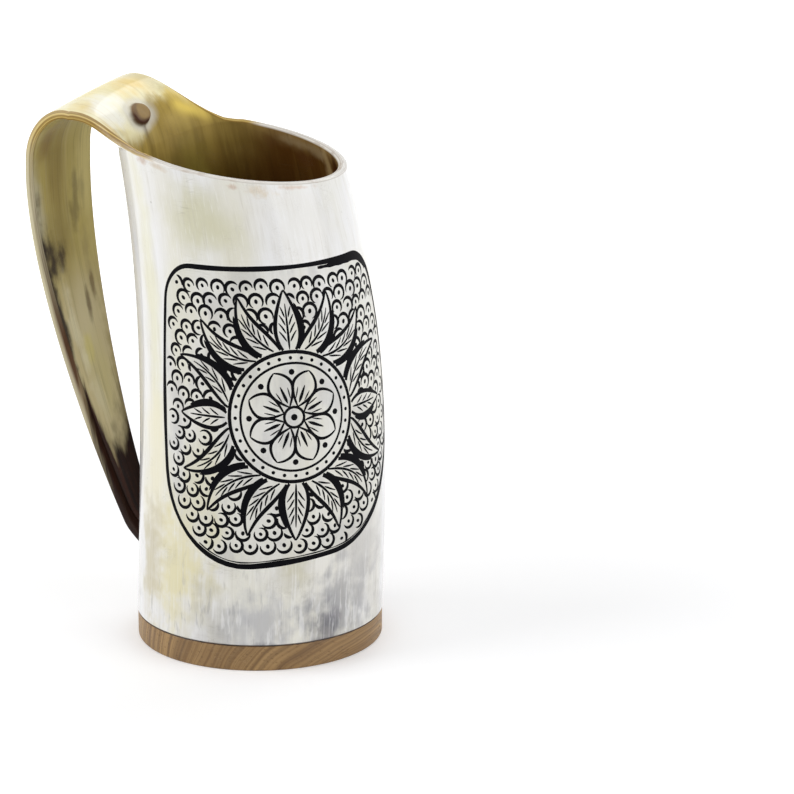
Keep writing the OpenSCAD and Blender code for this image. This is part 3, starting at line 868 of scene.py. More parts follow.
for skin, turns in ((0, (30, 60, 90)), (1, (90, 60, 30))):
    for t in turns:
        s, c = math.sin(math.radians(t)), 1 - math.cos(math.radians(t))
        ring = places[skin] + rounds[:, None] * (s * out_way + (c if skin == 0 else -c) * through_way)
        depth = (rounds * c if skin == 0 else WALL - rounds * c) / WALL
        bands.append([add_point(p, False, float(d), notes[i][2], notes[i][3],
                                np.array(notes[i][6:9]) * (1 - float(d) * WALL / ROOT_RADIUS), 1.0)
                      for p, d, i in zip(ring, depth, loops[0])])
bands.append(loops[1])
for a, b in zip(bands, bands[1:]):
    for i in range(len(a)):
        j = (i + 1) % len(a)
        add_face((a[i], a[j], b[j], b[i]))
print("faces so far:", len(faces))

# %% [markdown]
# The engraving is cut into the mesh itself. Every line shape, the grid points between
# them and the edge of the panel patch are triangulated together. Triangles that belong to
# a line sink by the depth of the groove, and small upright walls join the two levels.
# The same triangles, closed top and bottom, make the black fill that lies in the grooves.

# %% Cut the panel patch
flat_centre = math.radians(PANEL_TURN) * FOOT_RADIUS


def to_panel(index):
    return points[index][0] - flat_centre, points[index][1] - PANEL_HEIGHT


j0, j1 = PATCH_COLUMNS
boundary = ([outer_rows[patch_low][j] for j in range(j0, j1)]
            + [outer_rows[i][j1] for i in range(patch_low, patch_high)]
            + [outer_rows[patch_high][j] for j in range(j1, j0, -1)]
            + [outer_rows[i][j0] for i in range(patch_high, patch_low, -1)])
patch_grid = [outer_rows[i][j] for i in range(patch_low + 1, patch_high) for j in range(j0 + 1, j1)]
cdt_points = [Vector(to_panel(i)) for i in boundary + patch_grid]
known = {}
cdt_faces = []
for outline in ink_shapes:
    x, y = outline.T
    if (x * np.roll(y, -1) - np.roll(x, -1) * y).sum() < 0:
        outline = outline[::-1]
    ids = []
    for p in outline:
        key = (round(float(p[0]), 3), round(float(p[1]), 3))
        if key not in known:
            known[key] = len(cdt_points)
            cdt_points.append(Vector(key))
        if known[key] not in ids:
            ids.append(known[key])
    if len(ids) > 2:
        cdt_faces.append(ids)
found_points, _, found_faces, from_points, _, from_faces = delaunay_2d_cdt(
    cdt_points, [], cdt_faces, 0, 1e-5, True)
cut_points = [np.array(p) for p in found_points]
cut_triangles = [tuple(t) for t in found_faces]
is_ink = [len(sources) > 0 for sources in from_faces]
print("panel triangles:", len(cut_triangles), "of them line:", sum(is_ink))

# %% Neighbours of the line triangles
in_field = inside(np.array(cut_points), border)
fixed = {}
for i, sources in enumerate(from_points):
    for s in sources:
        if s < len(boundary):
            fixed[i] = boundary[s]


def cut_point(i, sink, panel):
    x, y = cut_points[i]
    angle = math.degrees((x + flat_centre) / FOOT_RADIUS)
    return add_body_point(angle, y + PANEL_HEIGHT, sink, 0, panel)


def sides(triangle):
    return zip(triangle, triangle[1:] + triangle[:1])


half_edges = {}
for t, tri in enumerate(cut_triangles):
    for a, b in sides(tri):
        half_edges[(a, b)] = t
fans = {}
for t, tri in enumerate(cut_triangles):
    if is_ink[t]:
        for v in tri:
            fans.setdefault(v, []).append(t)


def fan_groups(v):
    """The line triangles round a point, grouped where they share an edge at it."""
    left, groups = set(fans[v]), []
    while left:
        group, queue = set(), [left.pop()]
        while queue:
            t = queue.pop()
            group.add(t)
            for a, b in sides(cut_triangles[t]):
                if v in (a, b):
                    n = half_edges.get((b, a))
                    if n in left:
                        left.remove(n)
                        queue.append(n)
        groups.append(group)
    return groups


print("points where lines meet:", len(fans))

# %% Sink the lines and join them to the patch
surface, floor_of = {}, {}
for t, tri in enumerate(cut_triangles):
    if not is_ink[t]:
        for v in tri:
            if v not in surface:
                surface[v] = fixed[v] if v in fixed else cut_point(v, 0, float(in_field[v]))
for v in fans:
    for group in fan_groups(v):
        made = cut_point(v, GROOVE, 1.0)
        for t in group:
            floor_of[(v, t)] = made
fill_walls = []
for t, tri in enumerate(cut_triangles):
    if not is_ink[t]:
        add_face(tuple(surface[v] for v in tri))
        continue
    add_face(tuple(floor_of[(v, t)] for v in tri), STAINED)
    for a, b in sides(tri):
        n = half_edges.get((b, a))
        if n is None or not is_ink[n]:
            add_face((surface[a], surface[b], floor_of[(b, t)], floor_of[(a, t)]), STAINED)
            fill_walls.append((a, b, t))
print("horn faces:", len(faces))

# %% Build the horn and roll its body
horn = mesh_object("horn_body_and_strap", points, faces)
note = np.array(notes, float)
for column, name in ((1, "through"), (2, "along"), (3, "side"), (4, "edge"), (5, "panel")):
    horn.data.attributes.new(name, "FLOAT", "POINT").data.foreach_set("value", note[:, column])
grain_note = horn.data.attributes.new("grain", "FLOAT_VECTOR", "POINT")
grain_note.data.foreach_set("vector", (note[:, 6:9] * MM).ravel())
horn.data.attributes.new("flat", "BOOLEAN", "POINT").data.foreach_set("value", note[:, 0] > 0.5)
for finish in ("polished_horn", "inked_groove"):
    horn.data.materials.append(FINISHES[finish])
horn.data.polygons.foreach_set("material_index", face_finish)
run_tree(horn, roll_tree, {})
print("horn triangles:", triangles(horn))

# %% Black fill in the grooves
FILL_TOP, FILL_FOOT = 0.07, GROOVE - 0.01
fill_points, fill_faces, fill_ids = [], [], {}


def fill_id(v, t, level):
    key = (floor_of[(v, t)], level)
    if key not in fill_ids:
        x, y = cut_points[v]
        fill_ids[key] = len(fill_points)
        fill_points.append((x + flat_centre, y + PANEL_HEIGHT, -(FILL_TOP if level else FILL_FOOT)))
    return fill_ids[key]


for t, tri in enumerate(cut_triangles):
    if is_ink[t]:
        fill_faces.append(tuple(fill_id(v, t, 1) for v in tri))
        fill_faces.append(tuple(fill_id(v, t, 0) for v in reversed(tri)))
for a, b, t in fill_walls:
    fill_faces.append((fill_id(a, t, 0), fill_id(b, t, 0), fill_id(b, t, 1), fill_id(a, t, 1)))
fill = mesh_object("engraving_fill", fill_points, fill_faces)
flat_note = fill.data.attributes.new("flat", "BOOLEAN", "POINT")
flat_note.data.foreach_set("value", np.ones(len(fill_points), bool))
run_tree(fill, roll_tree, {"Material": FINISHES["black_fill"], "Set material": True})
print("fill triangles:", triangles(fill))

# %% [markdown]
# Every mesh gets one last pass: work on its points where it needs any, and smooth shading
# that still breaks at crisp corners.

# %% The last pass over a mesh
def finish_mesh(obj, angle, work=None):
    """Optional work on the mesh, no loose points, smooth faces with crisp corners."""
    bm = bmesh.new()
    bm.from_mesh(obj.data)
    if work:
        work(bm)
    bmesh.ops.delete(bm, geom=[v for v in bm.verts if not v.link_faces], context="VERTS")
    bm.to_mesh(obj.data)
    bm.free()
    for face in obj.data.polygons:
        face.use_smooth = True
    obj.data.set_sharp_from_angle(angle=math.radians(angle))
    obj.data.update()


finish_mesh(fill, 30)
print("fill points:", len(fill.data.vertices))

# %% [markdown]
# A horn is hollow only part of the way. Where the hollow ends, at the bend of the strap,
# the soft core leaves a small round pit. The mesh is made finer there and the skin that
# faces up is pressed in, with a soft lip and a shallow channel running down from it.

# %% Press in the core pit
PIT_SHARE, PIT_U, PIT_RADIUS, PIT_DEPTH = 0.14, 0.49, 3.3, 1.35
PIT_WIDER, PIT_FLATTER, PIT_REACH, FINER_REACH = 1.5, 0.88, 16, 8.5
LIP_HEIGHT, CHANNEL_DEPTH, PIT_ROUGH = 0.12, 0.4, 0.1
pit_centre = strap_point(np.array([PIT_SHARE]), PIT_U, 1)[0]
pit_way = on_path(PIT_U)[1]
pit_axis = np.array([-pit_way[1], 0.0, pit_way[0]])
pit_down = -np.array([pit_way[0], 0.0, pit_way[1]])


def press_pit(bm):
    centre = Vector(pit_centre * MM)
    axis = Vector(pit_axis)
    through = bm.verts.layers.float["through"]

    def near(v, reach):
        return v[through] > 0.95 and (v.co - centre).length < reach * MM

    edges = [e for e in bm.edges if all(near(v, FINER_REACH) for v in e.verts)]
    bmesh.ops.subdivide_edges(bm, edges=edges, cuts=2, use_grid_fill=True)
    pit, pit_floor, groove = (bm.verts.layers.float.new(n) for n in ("pit", "pit_floor", "channel"))
    for v in bm.verts:
        if not near(v, PIT_REACH):
            continue
        offset = v.co - centre
        level = offset - axis * offset.dot(axis)
        across, down = level.y / MM, level.dot(Vector(pit_down)) / MM
        rho = math.hypot(across / PIT_WIDER, down * PIT_FLATTER)
        dish = 1 - float(smooth((rho - PIT_RADIUS + 0.45) / 0.9))
        lip = math.exp(-((rho - PIT_RADIUS - 0.9) / 0.8) ** 2)
        starts, stops = float(smooth((down - 1) / 2)), float(smooth((down - 5) / 7))
        channel = math.exp(-across ** 2) * starts * (1 - stops)
        rough = PIT_ROUGH * math.sin(across * 1.3 + 1) * math.sin(down * 1.1) * (rho < PIT_RADIUS)
        press = PIT_DEPTH * dish + CHANNEL_DEPTH * channel * (1 - dish) - LIP_HEIGHT * lip + rough * dish
        v.co -= axis * press * MM
        v[pit] = max(0.0, 1 - rho / 10.0)
        # The tan floor is set off to the right, so the brown ring reads wider on the left: painted shade of
        # the recess.
        floor_rho = math.hypot((across - 1.2) / 1.3, (down + 0.4) * 0.9)
        v[pit_floor] = 1 - float(smooth((floor_rho - 1.9) / 1.1))
        # A dark crescent along the lower rim is painted shade; it is stored with the channel.
        below = float(smooth((down - across * 0.5) / 2.5))
        crescent = math.exp(-((rho - PIT_RADIUS + 0.5) / 0.7) ** 2) * below
        v[groove] = min(1.0, crescent + channel * float(smooth((rho - PIT_RADIUS) / 0.6)) * 0.6)


finish_mesh(horn, 40, press_pit)
print("horn points with the pit:", len(horn.data.vertices))

# %% [markdown]
# Everything turned on a lathe, or run round the foot as a bead, comes from one tree. Its
# input is half a profile, a row of points with the radius as X and the height as Z. The
# tree carries it round the axis, lets it wander a little as hand work does, and closes
# the seam and the poles.

# %% Tree that turns a profile
STEPS_ROUND = 144
lathe_tree, given, sink = new_tree(
    "turned on a lathe", "GeometryNodeTree",
    [("Geometry", "NodeSocketGeometry", None), ("Profile points", "NodeSocketInt", 8),
     ("Steps round", "NodeSocketInt", STEPS_ROUND), ("Wander", "NodeSocketFloat", 0.0),
     ("Wander scale", "NodeSocketFloat", 60.0), ("Material", "NodeSocketMaterial", None)],
    [("Geometry", "NodeSocketGeometry")])
sheet = lathe_tree.nodes.new("GeometryNodeMeshGrid")
for label, value in (("Size X", 1.0), ("Size Y", 1.0)):
    sheet.inputs[label].default_value = value
plug(lathe_tree, sheet.inputs["Vertices X"], given["Steps round"] + 1)
plug(lathe_tree, sheet.inputs["Vertices Y"], given["Profile points"])
unit = lathe_tree.nodes.new("ShaderNodeSeparateXYZ")
plug(lathe_tree, unit.inputs[0], put(lathe_tree, "GeometryNodeInputPosition"))
turn = (Wire(lathe_tree, unit.outputs[0]) + 0.5) * (2 * math.pi)
step = ((Wire(lathe_tree, unit.outputs[1]) + 0.5) * (given["Profile points"] - 1)).do("ROUND")
sample = put(lathe_tree, "GeometryNodeSampleIndex",
             {"Geometry": given["Geometry"], "Index": step,
              "Value": put(lathe_tree, "GeometryNodeInputPosition")}, data_type="FLOAT_VECTOR")
profile = lathe_tree.nodes.new("ShaderNodeSeparateXYZ")
plug(lathe_tree, profile.inputs[0], sample)
reach, level = Wire(lathe_tree, profile.outputs[0]), Wire(lathe_tree, profile.outputs[2])
round_place = put(lathe_tree, "ShaderNodeCombineXYZ",
                  {"X": turn.do("COSINE"), "Y": turn.do("SINE"), "Z": level * 8})
noise = put(lathe_tree, "ShaderNodeTexNoise",
            {"Vector": round_place, "Scale": given["Wander scale"], "Detail": 2.0})
reach = reach + (noise - 0.5) * given["Wander"] * (reach / 0.04)
turned = put(lathe_tree, "ShaderNodeCombineXYZ",
             {"X": reach * turn.do("COSINE"), "Y": reach * turn.do("SINE"), "Z": level})
shaped = put(lathe_tree, "GeometryNodeSetPosition", {"Geometry": sheet.outputs["Mesh"], "Position": turned})
closed = put(lathe_tree, "GeometryNodeMergeByDistance", {"Geometry": shaped, "Distance": 0.000002})
real = put(lathe_tree, "GeometryNodeRealizeInstances", {"Geometry": closed})
plug(lathe_tree, sink.inputs[0], put(lathe_tree, "GeometryNodeSetMaterial",
     {"Geometry": real, "Material": given["Material"]}))


print("lathe tree:", len(lathe_tree.nodes), "nodes")

# %% How a turned piece is made
def outward(bm):
    bmesh.ops.recalc_face_normals(bm, faces=bm.faces)


def turned_piece(name, outline, material, wander=0.0, scale=3.0):
    obj = mesh_object(name, [(r, 0, z) for r, z in outline], [])
    run_tree(obj, lathe_tree, {"Profile points": len(outline), "Steps round": STEPS_ROUND,
                               "Wander": wander * MM, "Wander scale": scale,
                               "Material": FINISHES[material]})
    finish_mesh(obj, 35, outward)
    print(name, "triangles", triangles(obj))
    return obj


def corner(r, z, size, start, count=4):
    """A rounded corner of a profile: a quarter turn about (r, z)."""
    return [(r + size * math.cos(math.radians(start + 90 * k / count)),
             z + size * math.sin(math.radians(start + 90 * k / count))) for k in range(count + 1)]


print("steps round a turned piece:", STEPS_ROUND)

# %% [markdown]
# The base is a disc of hardwood, a hair narrower than the horn, with a spigot turned on
# top of it that sits in the bored foot of the horn. Its lower edge is sanded round. Half
# its profile is enough, since the lathe tree turns it.

# %% Turned wooden base
BASE_RADIUS, BASE_BEVEL, BASE_BREAK = FOOT_RADIUS - 0.2, 0.7, 0.25
SPIGOT, SPIGOT_TOP = SEAT_RADIUS - 0.3, BASE_HEIGHT + 6.0
base_outline = ([(r, 0) for r in (0, 12, 24, 34)]
                + corner(BASE_RADIUS - BASE_BEVEL, BASE_BEVEL, BASE_BEVEL, -90, 6)
                + [(BASE_RADIUS, z) for z in (2.2, 4.2, 6.2)]
                + corner(BASE_RADIUS - BASE_BREAK, BASE_HEIGHT - BASE_BREAK, BASE_BREAK, 0)
                + [(SPIGOT, BASE_HEIGHT)] + [(r, SPIGOT_TOP) for r in (SPIGOT, 30, 15, 0)])
base = turned_piece("turned_wood_base", base_outline, "turned_wood")

# %% [markdown]
# Dark glue fills the joint between wood and horn. Outside it shows as a thin line whose
# width wavers. Inside the cup a clear coat has been poured over the wood, and has crept
# a little way up the horn. It is thin, so the wood is seen through it, and it is shown as
# the wet-looking wood that it makes. Neighbours stop a hair short of each other, so that
# no two faces lie in one place.

# %% Glue line and poured coat
HAIR, TUCKED_IN = 0.02, 0.15
glue_outline = [(SPIGOT + HAIR, BASE_HEIGHT + HAIR), (BASE_RADIUS - TUCKED_IN, BASE_HEIGHT + HAIR),
                (BASE_RADIUS + 0.02, BASE_HEIGHT + 0.08), (BASE_RADIUS + 0.08, BASE_HEIGHT + 0.2),
                (BASE_RADIUS + 0.02, HORN_FOOT - 0.06), (BASE_RADIUS - TUCKED_IN, HORN_FOOT - HAIR),
                (SEAT_RADIUS - HAIR, HORN_FOOT - HAIR), (SEAT_RADIUS - HAIR, SEAT_TOP - HAIR),
                (SEAT_RADIUS - WALL, SEAT_TOP - HAIR), (SEAT_RADIUS - WALL, SPIGOT_TOP + HAIR),
                (SPIGOT + HAIR, SPIGOT_TOP + HAIR), (SPIGOT + HAIR, BASE_HEIGHT + HAIR)]
glue = turned_piece("base_glue_line", glue_outline, "old_glue", wander=0.05, scale=4.0)

COAT, COAT_RISE, CREEP_CURVE = 0.8, 2.4, 2.6
coat_edge = float(body_r(SEAT_TOP) - body_x(SEAT_TOP + COAT_RISE)) - WALL - 0.15
coat_top, creep_top = SPIGOT_TOP + COAT, SEAT_TOP + COAT_RISE
creep = [(mix(coat_edge - COAT_RISE, coat_edge - 0.12, t), mix(coat_top, creep_top, t ** CREEP_CURVE))
         for t in np.linspace(0, 1, 9)]
coat_outline = ([(0, SPIGOT_TOP + HAIR), (SEAT_RADIUS - WALL - HAIR, SPIGOT_TOP + HAIR),
                 (SEAT_RADIUS - WALL - HAIR, SEAT_TOP), (coat_edge, SEAT_TOP),
                 (coat_edge, creep_top - 0.15)]
                + creep[::-1] + [(r, coat_top) for r in (24, 12, 0)])
coat = turned_piece("poured_inner_coat", coat_outline, "clear_coat")

# %% [markdown]
# The ground tip of the strap is glued to the wall. A little glue has squeezed out round
# it, so the pad is a shade larger than the tip and its rim is a low uneven bead.

# %% Glue pad under the tip of the strap
tip_low, tip_high = (float(strap_point(np.array([0.0]), ENDS, skin)[0][2]) for skin in (1, 0))
PAD_WIDE, PAD_TALL, PAD_THICK = 6.3, (tip_high - tip_low) / 2 + 0.25, GLUE - 0.08
PAD_MIDDLE, PAD_RINGS, PAD_STEPS, BEAD_HIGH, PAD_GAP = (tip_low + tip_high) / 2, 7, 56, 0.1, 0.04
pad_points, pad_faces = [], []
for level in (0, 1):
    for ring in range(PAD_RINGS + 1):
        s = ring / PAD_RINGS
        for k in range(PAD_STEPS):
            a = 2 * math.pi * k / PAD_STEPS
            grow = (abs(math.cos(a)) ** 5 + abs(math.sin(a)) ** 5) ** -0.2
            uneven = 1 + 0.025 * math.sin(5 * a + 1) * s
            y = PAD_WIDE * s * grow * math.cos(a) * uneven
            z = PAD_MIDDLE + PAD_TALL * s * grow * math.sin(a) * uneven
            bead = BEAD_HIGH * math.exp(-((s - 0.96) / 0.06) ** 2)
            gap = PAD_GAP if level == 0 or ring == PAD_RINGS else PAD_THICK + bead
            if ring == PAD_RINGS and level == 1:
                gap = PAD_THICK * 0.5
            r = float(body_r(z)) + gap
            pad_points.append((float(body_x(z)) - math.sqrt(r * r - y * y), y, z))
ring_start = [level * (PAD_RINGS + 1) * PAD_STEPS for level in (0, 1)]
for level in (0, 1):
    for ring in range(1, PAD_RINGS):
        for k in range(PAD_STEPS):
            a = ring_start[level] + ring * PAD_STEPS + k
            b = ring_start[level] + ring * PAD_STEPS + (k + 1) % PAD_STEPS
            pad_faces.append((a, b, b + PAD_STEPS, a + PAD_STEPS))
    pad_faces.append(tuple(ring_start[level] + PAD_STEPS + k for k in range(PAD_STEPS)))
for k in range(PAD_STEPS):
    a, b = (PAD_RINGS * PAD_STEPS + i for i in (k, (k + 1) % PAD_STEPS))
    pad_faces.append((a, b, b + ring_start[1], a + ring_start[1]))
pad = mesh_object("strap_tip_glue", pad_points, pad_faces)
pad.data.materials.append(FINISHES["old_glue"])
finish_mesh(pad, 50, outward)
print("pad height, mm:", round(2 * PAD_TALL, 1))

# %% [markdown]
# Now the finishes. Colours are written as a painter would read them off, from 0 to 255,
# and turned into the linear values that Blender works with.

# %% Small helpers for materials
def paint(r, g, b):
    line = [(c / 255 / 12.92) if c <= 10 else ((c / 255 + 0.055) / 1.055) ** 2.4 for c in (r, g, b)]
    return (*line, 1.0)


def blend(tree, share, a, b):
    """Colour a, or b where share is 1. A Mix node keeps its colours at sockets 6, 7 and 2."""
    node = tree.nodes.new("ShaderNodeMix")
    node.data_type = "RGBA"
    for slot, value in ((0, share), (6, a), (7, b)):
        plug(tree, node.inputs[slot], value)
    return Wire(tree, node.outputs[2])


def between(tree, value, low, high):
    """0 below low, 1 above high, with a soft change between; low may be the larger."""
    node = tree.nodes.new("ShaderNodeMapRange")
    node.interpolation_type = "SMOOTHSTEP"
    for label, v in (("Value", value), ("From Min", low), ("From Max", high)):
        plug(tree, node.inputs[label], v)
    return Wire(tree, node.outputs[0])


def note_of(tree, name, vector=False):
    node = tree.nodes.new("ShaderNodeAttribute")
    node.attribute_name = name
    return Wire(tree, node.outputs["Vector" if vector else "Fac"])


def split(tree, vector):
    node = tree.nodes.new("ShaderNodeSeparateXYZ")
    plug(tree, node.inputs[0], vector)
    return [Wire(tree, s) for s in node.outputs]


def use_group(tree, group, feed):
    node = tree.nodes.new("ShaderNodeGroup")
    node.node_tree = group
    for name, value in feed.items():
        plug(tree, node.inputs[name], value)
    return Wire(tree, node.outputs[0])


def add_relief(tree, shader, height, strength, distance):
    """Fine relief that only bends the light, distance in metres."""
    bump = tree.nodes.new("ShaderNodeBump")
    bump.inputs["Strength"].default_value = strength
    bump.inputs["Distance"].default_value = distance
    plug(tree, bump.inputs["Height"], height)
    plug(tree, shader.inputs["Normal"], bump.outputs[0])


def finish_tree(name):
    material = FINISHES[name]
    material.use_nodes = True
    tree = material.node_tree
    return tree, tree.nodes["Principled BSDF"]


print("cream in linear light:", [round(c, 3) for c in paint(228, 224, 208)])

# %% [markdown]
# Horn grows in fibres, so it needs streaks: noise that is fine across the fibre and long
# drawn out along it. Everything that is handled gets fine scratches. Both effects are node
# groups, built once. The horn has the streaks in it at several widths, and every finish of
# the cup has the scratches, each with its own numbers.

# %% Node groups: streaks and scratches
streaks, given, sink = new_tree(
    "fibre streaks", "ShaderNodeTree",
    [("Vector", "NodeSocketVector", None), ("Across", "NodeSocketFloat", 200.0),
     ("Along", "NodeSocketFloat", 10.0), ("Detail", "NodeSocketFloat", 3.0),
     ("Drift", "NodeSocketFloat", 0.3)],
    [("Streak", "NodeSocketFloat")])
stretch = put(streaks, "ShaderNodeCombineXYZ",
              {"X": given["Across"], "Y": given["Across"], "Z": given["Along"]})
long_way = put(streaks, "ShaderNodeVectorMath", {0: given["Vector"], 1: stretch}, operation="MULTIPLY")
sway = put(streaks, "ShaderNodeTexNoise", {"Vector": long_way, "Scale": 0.35, "Detail": 1.0}, out="Color")
drift = put(streaks, "ShaderNodeCombineXYZ",
            {"X": given["Drift"] * 4, "Y": given["Drift"] * 4, "Z": given["Drift"]})
pushed = put(streaks, "ShaderNodeVectorMath", {0: sway, 1: drift, 2: long_way}, operation="MULTIPLY_ADD")
plug(streaks, sink.inputs[0], put(streaks, "ShaderNodeTexNoise",
     {"Vector": pushed, "Scale": 1.0, "Detail": given["Detail"], "Roughness": 0.6}))

scratches, given, sink = new_tree(
    "fine scratches", "ShaderNodeTree",
    [("Vector", "NodeSocketVector", None), ("Scale", "NodeSocketFloat", 120.0),
     ("Amount", "NodeSocketFloat", 0.5)],
    [("Scratch", "NodeSocketFloat")])
found = []
for k, angle in enumerate((0.4, 1.5, 2.6)):
    mapping = put(scratches, "ShaderNodeMapping",
                  {"Vector": given["Vector"], "Rotation": (0.3 * k, 0.5, angle),
                   "Scale": (1.0, 14.0, 14.0)})
    waves = put(scratches, "ShaderNodeTexNoise",
                {"Vector": mapping, "Scale": given["Scale"] * 0.5, "Detail": 0.0})
    found.append(between(scratches, (waves - 0.5).do("ABSOLUTE"), 0.012, 0.0))
area = put(scratches, "ShaderNodeTexNoise",
           {"Vector": given["Vector"], "Scale": given["Scale"], "Detail": 2.0})
patchy = between(scratches, area, 0.5, 0.68)
any_way = found[0].do("MAXIMUM", found[1]).do("MAXIMUM", found[2])
plug(scratches, sink.inputs[0], any_way * patchy * given["Amount"])
print("groups:", streaks.name, "and", scratches.name)

# %% [markdown]
# Horn also has clouds: milky, yellow, olive or smoke-grey patches that sit where they
# grew. One group makes such a patch: an oval in any two measures of the surface, with an
# edge that a noise frays along the fibre. The patches themselves are short lists below;
# the same patches also carry a few painted highlights and painted shade.

# %% Node group: a cloud in a set place
clouds, given, sink = new_tree(
    "soft cloud", "ShaderNodeTree",
    [(label, "NodeSocketFloat", value) for label, value in (
        ("Across", 0.0), ("Along", 0.0), ("Frayed", 0.5), ("Across at", 0.0), ("Along at", 0.0),
        ("Across reach", 1.0), ("Along reach", 1.0))],
    [("Cloud", "NodeSocketFloat")])
off_across = (given["Across"] - given["Across at"]) / given["Across reach"]
off_along = (given["Along"] - given["Along at"]) / given["Along reach"]
away = (off_across ** 2 + off_along ** 2).do("SQRT") + (given["Frayed"] - 0.5) * 2.4
plug(clouds, sink.inputs[0], between(clouds, away, 1.4, 0.2))
print("group:", clouds.name)

# %% [markdown]
# Polished horn. The outer wall is milk white with cream and yellow-green clouds and grey
# smudges low down, partly painted shade at the right of the foot; the inside is olive
# brown, with painted shade deeper down. On the strap the outer skin becomes the khaki side
# that faces the cup, with a painted highlight along its rounded front edge, and the inner
# skin becomes its cream yellow top, with a painted white highlight and a painted gold
# highlight on its rear ridge. Towards the tip both turn black-brown, and the lit rounded
# edges there are painted darker. Sawn edges show the layers that the horn grew in. The
# core pit has painted shade in its ring. The notes stored on the mesh say where a point
# sat before the horn was bent, so the fibres follow the bend. Each list of clouds gives a
# share, a colour, a place in two measures and a reach in both.

# %% Finish: polished horn, its fibres
tree, shader = finish_tree("polished_horn")
grain = note_of(tree, "grain", vector=True)
through, along, side = (note_of(tree, n) for n in ("through", "along", "side"))
edge, panel = (note_of(tree, n) for n in ("edge", "panel"))
gx, gy, gz = split(tree, grain)
turn_round = gy.do("ARCTAN2", gx) * (180 / math.pi)
height_mm = gz * 1000


def fibre(across, lengthwise, detail=3.0, drift=0.3):
    return use_group(tree, streaks, {"Vector": grain, "Across": across, "Along": lengthwise,
                                     "Detail": detail, "Drift": drift})


def mottle(scale, detail=3.0):
    return put(tree, "ShaderNodeTexNoise", {"Vector": grain, "Scale": scale, "Detail": detail})


def add_clouds(colour, across, up, frayed, patches):
    for share, shade, across_at, up_at, across_reach, up_reach in patches:
        patch = use_group(tree, clouds, {"Across": across, "Along": up, "Frayed": frayed,
                                         "Across at": across_at, "Along at": up_at,
                                         "Across reach": across_reach, "Along reach": up_reach})
        colour = blend(tree, patch * share, colour, paint(*shade))
    return colour


broad, middle_streak = fibre(60, 9, 2), fibre(230, 12)
fine, hair = fibre(900, 26, 4, 0.1), fibre(2400, 40, 2, 0.05)
fray = fibre(130, 34, 4, 0.7)
cloud, blotch, chips = mottle(34.0), mottle(85.0, 4.0), mottle(420.0, 4.0)
soft_fray = fray * 0.5 + blotch * 0.5
ragged = (fray + mottle(160.0, 5.0) - 1) * 0.85 + 0.5

wall = blend(tree, between(tree, broad, 0.35, 0.68), paint(240, 240, 241), paint(232, 230, 222))
wall = blend(tree, between(tree, middle_streak, 0.42, 0.75) * 0.4, wall, paint(220, 217, 207))
wall = blend(tree, between(tree, cloud, 0.48, 0.68) * 0.35, wall, paint(226, 223, 200))
print("nodes for the bare wall:", len(tree.nodes))

# %% Finish: polished horn, clouds, flecks and painted shade of the outer wall
WALL_CLOUDS = [
    (0.85, (206, 203, 170), -82, 146, 18, 13),
    (0.45, (214, 211, 180), -66, 140, 12, 12),
    (0.60, (228, 225, 186), -118, 120, 7, 44),
    (0.40, (230, 227, 196), -99, 112, 7, 30),
    (0.75, (238, 232, 202), -121, 64, 12, 24),
    (0.60, (224, 217, 176), -90, 62, 10, 18),
    (0.45, (226, 221, 190), -74, 116, 16, 8),
    (0.40, (226, 221, 192), -38, 98, 8, 30),
    (0.50, (224, 222, 214), -30, 146, 18, 16),
    (0.60, (226, 221, 190), 62, 118, 26, 42),
    (0.50, (230, 225, 200), 30, 96, 16, 50)]
FOOT_CLOUDS_AND_SHADE = [
    (0.55, (210, 201, 168), -119, 45, 8, 9),
    (0.90, (228, 220, 176), -102, 32, 20, 22),
    (0.85, (203, 194, 164), -123, 33, 9, 19),
    (0.70, (197, 192, 164), -45, 33, 8, 8),
    (0.55, (204, 198, 166), -88, 27, 9, 5),
    (0.60, (206, 205, 200), -84, 15, 16, 12),
    (0.80, (184, 184, 186), -62, 16, 18, 10),
    # The patches at -22, -10 and -30 degrees darken the right of the foot: partly grey smudges, partly
    # painted shade.
    (0.80, (146, 146, 151), -22, 18, 20, 15),
    (0.60, (190, 188, 186), -10, 38, 16, 20),
    (0.85, (112, 112, 120), -60, 7, 8, 2.6),
    (0.90, (104, 103, 110), -30, 12, 7, 9),
    (0.55, (186, 184, 182), 118, 44, 20, 34),
    (0.70, (228, 220, 182), 152, 26, 22, 22),
    (0.60, (176, 175, 176), 70, 14, 22, 10)]
RIM_CHIPS = [
    (0.60, (196, 166, 142), -61, -2.4, 2.2, 0.8),
    (0.70, (222, 208, 184), -48, -2.8, 6.0, 1.9),
    (0.60, (208, 176, 152), -30, -1.4, 10.0, 0.7),
    (0.60, (188, 156, 130), -111, -1.8, 4.5, 1.2),
    (0.50, (206, 184, 156), -100, -1.6, 6.0, 0.9),
    (0.60, (206, 180, 152), 40, -1.8, 9.0, 1.0),
    (0.60, (196, 160, 138), 96, -2.0, 5.0, 1.2)]
wall = add_clouds(wall, turn_round, height_mm, soft_fray, WALL_CLOUDS)
wall = add_clouds(wall, turn_round, height_mm, ragged, FOOT_CLOUDS_AND_SHADE)
wall = add_clouds(wall, turn_round, along, chips, RIM_CHIPS)
wall = blend(tree, between(tree, fine, 0.5, 0.78) * 0.26, wall, paint(190, 184, 170))
wall = blend(tree, between(tree, hair, 0.55, 0.75) * 0.3, wall, paint(252, 252, 252))
low_down = between(tree, gz, 0.05, 0.016)
white_flecks, grey_flecks = fibre(600, 90, 3, 0.5), fibre(520, 110, 3, 0.5)
wall = blend(tree, between(tree, blotch, 0.5, 0.66) * low_down * 0.3, wall, paint(176, 172, 166))
wall = blend(tree, between(tree, white_flecks, 0.56, 0.68) * low_down * 0.4, wall, paint(244, 244, 244))
